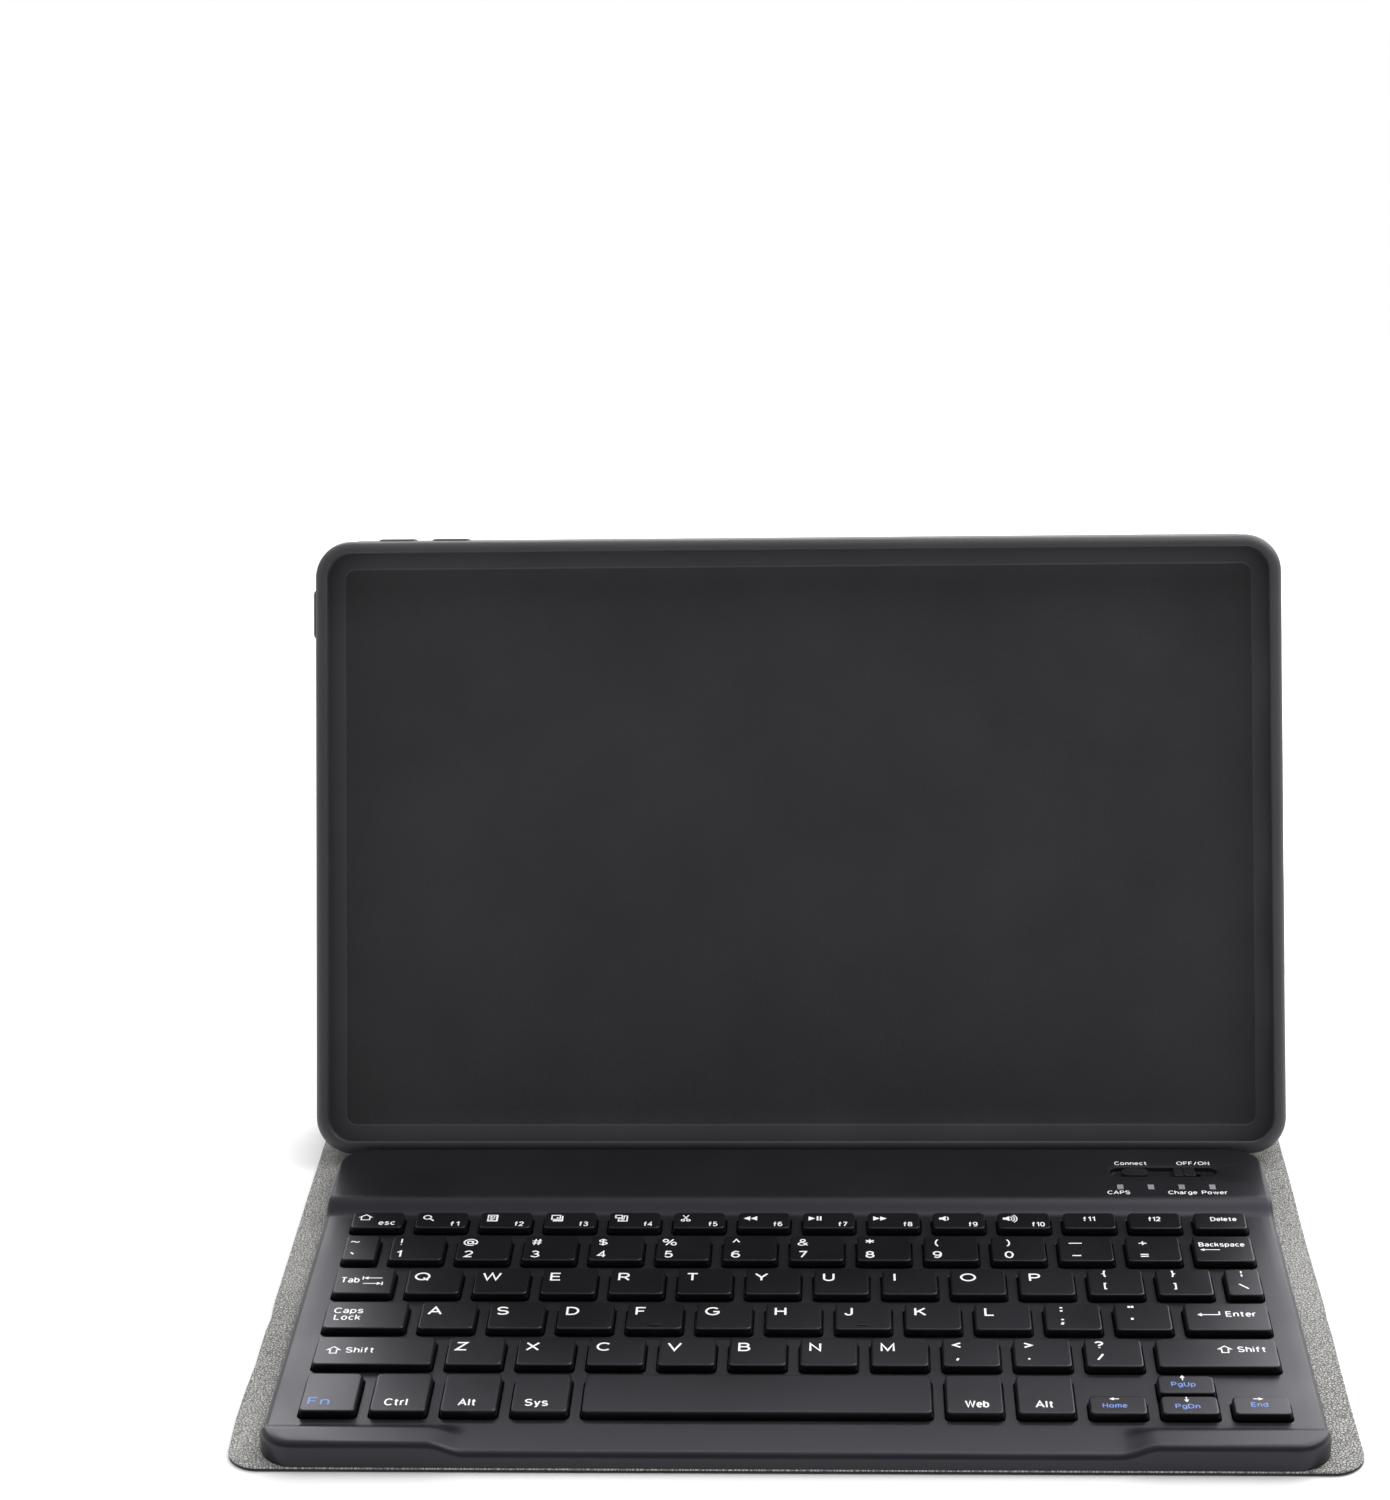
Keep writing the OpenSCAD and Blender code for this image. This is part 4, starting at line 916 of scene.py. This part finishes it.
# Keys with two signs carry one above the other
SIGN_H = 3.35
for i, (upper, lower) in enumerate(zip("~!@#$%^&*()_+", "`1234567890-=")):
    x, rear, front = left_rear((1, i, 0))
    at = x + (2.3 if i < 2 else 3.1 if i < 10 else 4.2)
    word("number_keys", upper, at, rear - 5.1, SIGN_H, align="middle", weight=0.85)
    word("number_keys", lower, at, front + 1.25, SIGN_H, align="middle")
for node, row, first, upper, lower, at, size, back, fore in (
        ("top_letter_keys", 2, 11, "{}|", "[]\\", 4.1, 2.5, 3.5, 2.9),
        ("home_letter_keys", 3, 10, ":\"", ";'", 4.0, SIGN_H, 4.4, 2.5),
        ("bottom_letter_keys", 4, 8, "<>?", ",./", 3.4, 3.2, 4.5, 2.6)):
    for i, (a, b) in enumerate(zip(upper, lower)):
        x, rear, front = left_rear((row, first + i, 0))
        bold = 1.45 if row == 3 else 1.2
        word(node, a, x + at, rear - back, size, align="middle", weight=bold)
        word(node, b, x + at, front + fore, size, align="middle", weight=bold)

# Function row: a sign at the left and its number at the lower right
for i, drawing in enumerate((SEARCH, PAGE, SHEETS, CLIP, SCISSORS, PREVIOUS, PLAY, NEXT, QUIET, LOUD)):
    x, rear, front = left_rear((0, i + 1, 0))
    icon("function_keys", drawing, x + 3.0, rear - 3.1)
    wide = i == 9
    word("function_keys", f"f{i + 1}", x + 8.9 - (0.5 if wide else 0), front + 0.8, 2.3,
         width=3.4 if wide else 2.4)
for i in (11, 12):
    x, rear, front = left_rear((0, i, 0))
    word("function_keys", f"f{i}", x + 6.5, front + 3.6, 2.3, align="middle", width=3.2)
x, rear, front = left_rear((0, 0, 0))
icon("esc_key", HOUSE, x + 3.3, rear - 2.8)
word("esc_key", "esc", x + 7.0, front + 1.3, 2.3, width=4.3)
x, rear, front = left_rear((0, 13, 0))
word("delete_key", "Delete", x + 4.1, front + 3.7, 2.1, width=6.7)

# Wide keys, with places from the front edge of the base
for key, text, x, y, size, width in (
        ("backspace_key", "Backspace", 102.0, 92.8, 2.1, 11.5), ("tab_key", "Tab", -114.0, 74.0, 2.7, 4.8),
        ("caps_lock_key", "Caps", -113.5, 59.1, 2.6, 7.3), ("caps_lock_key", "Lock", -113.1, 55.9, 2.6, 6.6),
        ("enter_key", "Enter", 105.0, 58.4, 2.5, 7.4), ("left_shift_key", "Shift", -108.0, 40.6, 2.5, 6.9),
        ("right_shift_key", "Shift", 106.0, 42.0, 2.5, 6.8), ("fn_key", "Fn", -113.8, 17.3, 3.3, 5.2),
        ("ctrl_key", "Ctrl", -95.7, 17.2, 3.0, 5.5), ("left_alt_key", "Alt", -78.3, 17.2, 3.0, 4.3),
        ("right_alt_key", "Alt", 56.5, 17.2, 3.0, 4.3), ("system_key", "Sys", -62.6, 17.2, 3.0, 5.5),
        ("browser_key", "Web", 40.2, 17.2, 3.0, 5.6)):
    word(key, text, x, FRONT_Y + y, size, width=width, colour="blue" if key == "fn_key" else "white")
for key, drawing, x, y in (
        ("backspace_key", BACK, 104.6, 91.2), ("tab_key", TAB_LEFT, -105.9, 76.3), ("tab_key", TAB_RIGHT, -105.9, 73.6),
        ("enter_key", RETURN, 100.9, 59.6), ("left_shift_key", SHIFT, -111.0, 41.8),
        ("right_shift_key", SHIFT, 103.0, 43.2)):
    icon(key, drawing, x, FRONT_Y + y)
for key, text, turn, x, y_arrow, y_word in (
        ("left_arrow_key", "Home", 180, 74.9, 21.1, 17.3), ("up_arrow_key", "PgUp", 90, 91.6, 30.4, 26.6),
        ("down_arrow_key", "PgDn", 270, 91.7, 20.9, 17.1), ("right_arrow_key", "End", 0, 108.3, 21.3, 17.9)):
    icon(key, turned(arrow(2.3, 0.3, 0.62), turn), x, FRONT_Y + y_arrow, 0.95 if turn in (90, 270) else 1.0)
    word(key, text, x, FRONT_Y + y_word, 1.95, width=3.9 if text == "End" else 5.7, colour="blue",
         align="middle")

# Words beside the controls on the rear deck
for text, x, y, width in (("Connect", 84.0, 135.0, 8.6), ("OFF/ON", 100.4, 135.0, 8.7), ("CAPS", 81.0, 118.9, 5.9),
                          ("Charge", 96.8, 118.9, 7.5), ("Power", 105.5, 118.9, 6.7)):
    word("base", text, x, FRONT_Y + y, 1.9, width=width, z=REAR_DECK_Z, weight=0.95)

bpy.context.view_layer.update()
deps = bpy.context.evaluated_depsgraph_get()
for obj, node, x, y, scale in drawings:
    mesh = bpy.data.meshes.new_from_object(obj.evaluated_get(deps))
    verts, polys = inks.setdefault((node, "white"), ([], []))
    first = len(verts)
    verts += [((x + v.co.x * scale) * MM, (y + v.co.y * scale) * MM,
               (KEY_TOP_Z + (INK if v.co.z > 0 else -INK)) * MM) for v in mesh.vertices]
    polys += [[first + i for i in f.vertices] for f in mesh.polygons]
    bpy.data.meshes.remove(mesh)
for obj, *_ in drawings:
    data = obj.data
    bpy.data.objects.remove(obj)
    bpy.data.curves.remove(data)
for (node, colour), (verts, polys) in inks.items():
    name = f"{node}_{colour}_legends"
    mesh = bpy.data.meshes.new(name)
    mesh.from_pydata(verts, [], polys)
    body, slot = ("base", "keyboard_body") if node == "base" else (node + "_body", "key_plastic")
    ride(add_object(name, mesh, white_ink if colour == "white" else blue_ink), body, slot)


# Keyboard body: a moulded top with soft steps, cut for its keys and controls

BOARD_W, BOARD_Y0, BOARD_Y1, BOARD_R, BOARD_Z = 247.0, -79.35, 65.5, 9.0, 1.2
BOARD_EDGE, BOARD_WALL = 1.6, 1.4
REAR_RISE, FRONT_RISE = REAR_DECK_Z - DECK_Z, 2.4
STEP_Y, STEP_D = 31.5, 7.9
REAR_ROOM_Y = 37.3
LIP_Y, LIP_D = -67.2, 5.4
SCOOP_X, SCOOP_W = 75.0, 9.0
UNDER_DECK_Z, UNDER_REAR_Z = 3.9, 6.7
CONTROLS_X, CONTROLS_Y, LIGHTS_Y = 96.6, 51.8, 43.4
RECESS_L, RECESS_W, RECESS_Z = 28.0, 5.0, 6.3
# Holes for the feet of the switch and the button, and for the socket
SWITCH_X, SWITCH_L, BUTTON_X, FOOT_W = 103.6, 5.9, 89.1, 2.9
SOCKET_X, SOCKET_Z, SOCKET_W, SOCKET_H = 72.6, 4.3, 7.7, 2.8
# Visible gap round a key's foot, and the chamfer of its opening
OPENING_GAP, OPENING_EDGE = 0.12, 0.12
LIGHT_W, LIGHT_L, LIGHT_STEP, LIGHT_EDGE = 1.8, 2.7, 8, 0.15
POST_W, SCREW_W = 4.0, 1.4
SCREWS = [(-116, -73.4), (0, -73.4), (116, -73.4), (-116, 61.0), (116, 61.0)]


def soft_ease(t):
    """Like ease, with no sudden bend at its ends, and steepest a little before its middle."""
    t = min(1.0, max(0.0, t)) ** 0.9
    return t ** 3 * (10 - 15 * t + 6 * t * t)


def deck_height(x, y):
    """The deck, its raised rear and the raised front corners."""
    rear = soft_ease((y - STEP_Y) / STEP_D)
    front = ease((LIP_Y - y) / LIP_D) * ease((abs(x) - SCOOP_X) / SCOOP_W)
    return DECK_Z + REAR_RISE * rear + FRONT_RISE * front


def board_block(bm):
    """The outer form, with a rounded upper edge all round."""
    roll = [BOARD_EDGE * k for k in (0, 0.03, 0.1, 0.22, 0.38, 0.58, 0.78, 1)]
    depth = BOARD_Y1 - BOARD_Y0
    arcs = arc_stops(BOARD_R, 6)
    lip = [LIP_Y - BOARD_Y0 - LIP_D * i / 12 for i in range(13)]
    step = [STEP_Y - BOARD_Y0 + STEP_D * i / 18 for i in range(19)]
    rows = spread(depth, roll + arcs + lip, roll + arcs, 11.0)
    rows = sorted({round(v, 4) for v in rows + step})
    fixed = sorted({s * v for s in (-1, 1) for v in [0, 15, 30, 45, 60, 70, 92, 102] +
                    [SCOOP_X + SCOOP_W * i / 10 for i in range(11)]})
    half = BOARD_W / 2
    grid = []
    for q in rows:
        ends = min(q, depth - q)
        xe = half - corner_pull(ends, BOARD_R)
        xs = [-xe + i for i in roll + [4.0]] + fixed + [xe - i for i in reversed(roll + [4.0])]
        line = []
        for x in xs:
            e = min(xe - abs(x), ends)
            if ends < BOARD_R and abs(x) > half - BOARD_R:
                e = min(e, max(0.0, BOARD_R - math.hypot(abs(x) - (half - BOARD_R), BOARD_R - ends)))
            y = BOARD_Y0 + q
            line.append(bm.verts.new((x * MM, y * MM, (deck_height(x, y) - corner_pull(e, BOARD_EDGE)) * MM)))
        grid.append(line)
    n = len(grid[0])
    for a, b in zip(grid, grid[1:]):
        for i in range(n - 1):
            bm.faces.new((a[i], a[i + 1], b[i + 1], b[i]))
    rim = grid[0] + [line[-1] for line in grid[1:]] + grid[-1][-2::-1] + [line[0] for line in grid[-2:0:-1]]
    foot = [bm.verts.new((v.co.x, v.co.y, BOARD_Z * MM)) for v in rim]
    for i in range(len(rim)):
        j = (i + 1) % len(rim)
        bm.faces.new((rim[j], rim[i], foot[i], foot[j]))
    bm.faces.new(foot)


def moulding(name, fill):
    bm = bmesh.new()
    fill(bm)
    return solid(name, bm, body_mat)


def hollow(bm):
    mid = (BOARD_Y0 + BOARD_Y1) / 2
    w, d = BOARD_W - 2 * BOARD_WALL, BOARD_Y1 - BOARD_Y0 - 2 * BOARD_WALL
    prism(bm, 0, mid, w, d, BOARD_R - BOARD_WALL, [(0.2, 0), (UNDER_DECK_Z, 0)])


def rear_hollow(bm):
    y0, y1 = REAR_ROOM_Y, BOARD_Y1 - BOARD_WALL
    prism(bm, 0, (y0 + y1) / 2, BOARD_W - 2 * BOARD_WALL, y1 - y0, 3.0, [(3.0, 0), (UNDER_REAR_Z, 0)])


def inner_posts(bm):
    for x, y in SCREWS:
        top = UNDER_REAR_Z if y > 0 else UNDER_DECK_Z
        prism(bm, x, y, POST_W, POST_W, POST_W / 2, [(2.0, 0), (top + 0.2, 0)], 6)
    prism(bm, CONTROLS_X, CONTROLS_Y, RECESS_L + 2.4, RECESS_W + 2.4, 1.0, [(RECESS_Z - 1.2, 0), (6.9, 0)])


def mouth(z, edge):
    """Heights and growth of a chamfered mouth, on through the surface."""
    return [(z - edge, 0), (z, edge), (z + 1, edge + 1)]


def openings(bm):
    for places in KEY_NODES.values():
        for row, i, half in places:
            shared = (row, i) == (5, 8)
            if shared and half == 1:
                continue
            x, y, w, d = key_rect(row, i, 0 if shared else half)
            grow = 2 * (KEY_SPREAD + OPENING_GAP)
            prism(bm, x, y, w + grow, d + grow, KEY_R + OPENING_GAP, [(0.0, 0)] + mouth(DECK_Z, OPENING_EDGE))
    prism(bm, CONTROLS_X, CONTROLS_Y, RECESS_L, RECESS_W, RECESS_W / 2,
          [(RECESS_Z, -0.3), (RECESS_Z + 0.3, 0), (REAR_DECK_Z - 0.35, 0), (REAR_DECK_Z - 0.1, 0.1),
           (REAR_DECK_Z, 0.35), (REAR_DECK_Z + 1, 1.35)], 10)
    for i in (-1.5, -0.5, 0.5, 1.5):
        prism(bm, CONTROLS_X + LIGHT_STEP * i, LIGHTS_Y, LIGHT_W, LIGHT_L, 0.3,
              [(4.0, 0)] + mouth(REAR_DECK_Z, LIGHT_EDGE))
    for x, y in SCREWS:
        prism(bm, x, y, SCREW_W, SCREW_W, SCREW_W / 2, [(0.5, 0), (3.6, 0)])


def lower_holes(bm):
    for x, length in ((SWITCH_X, SWITCH_L), (BUTTON_X, FOOT_W)):
        prism(bm, x, CONTROLS_Y, length, FOOT_W, 0.2, [(3.0, 0), (RECESS_Z + 0.5, 0)])
    loft(bm, [[(SOCKET_X + p[0], y, SOCKET_Z + p[1]) for p in rounded_ring(SOCKET_W + g, SOCKET_H + g, 0.5, 4, 0)]
              for y, g in ((63.0, 0), (65.2, 0), (65.6, 0.5), (67.0, 0.5))])


shell = moulding("keyboard_top_shell", board_block)
for fill, operation in ((hollow, "DIFFERENCE"), (rear_hollow, "DIFFERENCE"), (inner_posts, "UNION"),
                        (openings, "DIFFERENCE"), (lower_holes, "DIFFERENCE")):
    cut(shell, moulding("cutter", fill), operation)
for p in shell.data.polygons:
    p.use_smooth = True
shell.data.set_sharp_from_angle(angle=math.radians(32))
ride(shell, "base", "keyboard_body", "keyboard_top_case")


# Edges of the carried-over controls are rounded
for name, width in (("power_switch", 0.15), ("connect_button", 0.2)):
    weld = nodes[name].modifiers.new("weld", "WELD")
    weld.merge_threshold = 0.00002
    mod = nodes[name].modifiers.new("round", "BEVEL")
    mod.width, mod.segments, mod.limit_method, mod.angle_limit = width * MM, 3, "ANGLE", math.radians(35)
    mod.harden_normals = True


# Floor, light and camera

def soft_range(tree, source, *ends):
    """Maps a value from one range to another, with soft ends."""
    return add(tree, "MapRange", source, *ends, interpolation_type="SMOOTHSTEP").outputs[0]


def ray_kinds(tree):
    """The kinds of a ray, and whether it comes from a mirror or from glass."""
    kinds = add(tree, "LightPath").outputs
    return kinds, math_node(tree, "MAXIMUM", kinds["Is Glossy Ray"], kinds["Is Transmission Ray"])


FLOOR_W, FLOOR_R = 6000, 500
bm = bmesh.new()
prism(bm, 0, 0, FLOOR_W, FLOOR_W, FLOOR_R, [(-0.02, 0), (-0.01, 0)], 6)
floor_paint, tree, bsdf = new_material("floor")
paint = ramp(tree, noise(tree, coords(tree), 3.0), [(0.3, rgb(250, 250, 250)), (0.7, rgb(252, 252, 252))])
settle(bsdf, {"Roughness": 0.9, "Specular IOR Level": 0.1, "Base Color": paint})
# Further away from the object the floor turns as white as the studio, to the camera and in mirrors
away = add(tree, "VectorMath", coords(tree), operation="LENGTH").outputs["Value"]
kinds, mirrored = ray_kinds(tree)
far = math_node(tree, "MULTIPLY", soft_range(tree, away, 0.4, 1.1, 0.0, 1.0),
                math_node(tree, "MAXIMUM", kinds["Is Camera Ray"], mirrored))
white = add(tree, "Emission", Color=(1, 1, 1, 1)).outputs[0]
mix = add(tree, "MixShader", far, bsdf.outputs[0], white).outputs[0]
settle(tree.nodes["Material Output"], {"Surface": mix})
solid("floor", bm, floor_paint, smooth=False)

world = bpy.data.worlds.new("studio")
scene.world = world
world.use_nodes = True
tree = world.node_tree
# The studio is open and white behind and above the object, and darker on the camera's side
way = add(tree, "SeparateXYZ", add(tree, "TexCoord").outputs["Generated"]).outputs["Y"]
kinds, mirrored = ray_kinds(tree)
mirrored = math_node(tree, "MULTIPLY", soft_range(tree, way, -0.6, 0.5, 0.25, 1.0), mirrored)
shown = math_node(tree, "MAXIMUM", kinds["Is Camera Ray"], mirrored)
FILL = 0.6
plain = math_node(tree, "MULTIPLY", kinds["Is Diffuse Ray"], FILL)
settle(tree.nodes["Background"], {"Color": (1, 1, 1, 1), "Strength": math_node(tree, "MAXIMUM", shown, plain)})


def aimed(name, data, at, way):
    obj = bpy.data.objects.new(name, data)
    obj.location = at
    obj.rotation_euler = way.to_track_quat("-Z", "Y").to_euler()
    scene.collection.objects.link(obj)
    return obj


def area(name, at, to, size, power):
    data = bpy.data.lights.new(name, "AREA")
    data.shape, data.size, data.size_y, data.energy = "RECTANGLE", size[0], size[1], power
    aimed(name, data, at, Vector(to) - Vector(at))


sun = bpy.data.lights.new("sky", "SUN")
sun.energy, sun.angle = 0.9, math.radians(60)
aimed("sky", sun, (0, 0, 0), Vector((0.2, -0.25, -1.0))).visible_glossy = False
area("back_box", (0.29, 0.95, 0.66), (0, 0, 0), (1.9, 0.7), 15.6)
area("top_box", (0.5, 0.2, 0.9), (0.05, 0, 0), (0.6, 0.8), 4.5)

# The photograph's camera: its place, its turn and its focal length in pixels of the 1500 pixel side
EYE, FOCAL, SIDE, SENSOR = (0.0126, -0.7190, 0.41818), 3261.2, 1500, 36
YAW, PITCH, ROLL = -2.770, 20.631, 1.296
cam = bpy.data.cameras.new("camera")
cam.sensor_fit, cam.sensor_width, cam.sensor_height = "AUTO", SENSOR, SENSOR
cam.lens = SENSOR * FOCAL / SIDE
cam.clip_start, cam.clip_end = 0.05, 50
cam_obj = bpy.data.objects.new("camera", cam)
cam_obj.matrix_world = Matrix.Translation(EYE) @ spin(-YAW, "Z") @ spin(90 - PITCH, "X") @ spin(-ROLL, "Z")
scene.collection.objects.link(cam_obj)
scene.camera = cam_obj
scene.view_settings.view_transform = "Standard"
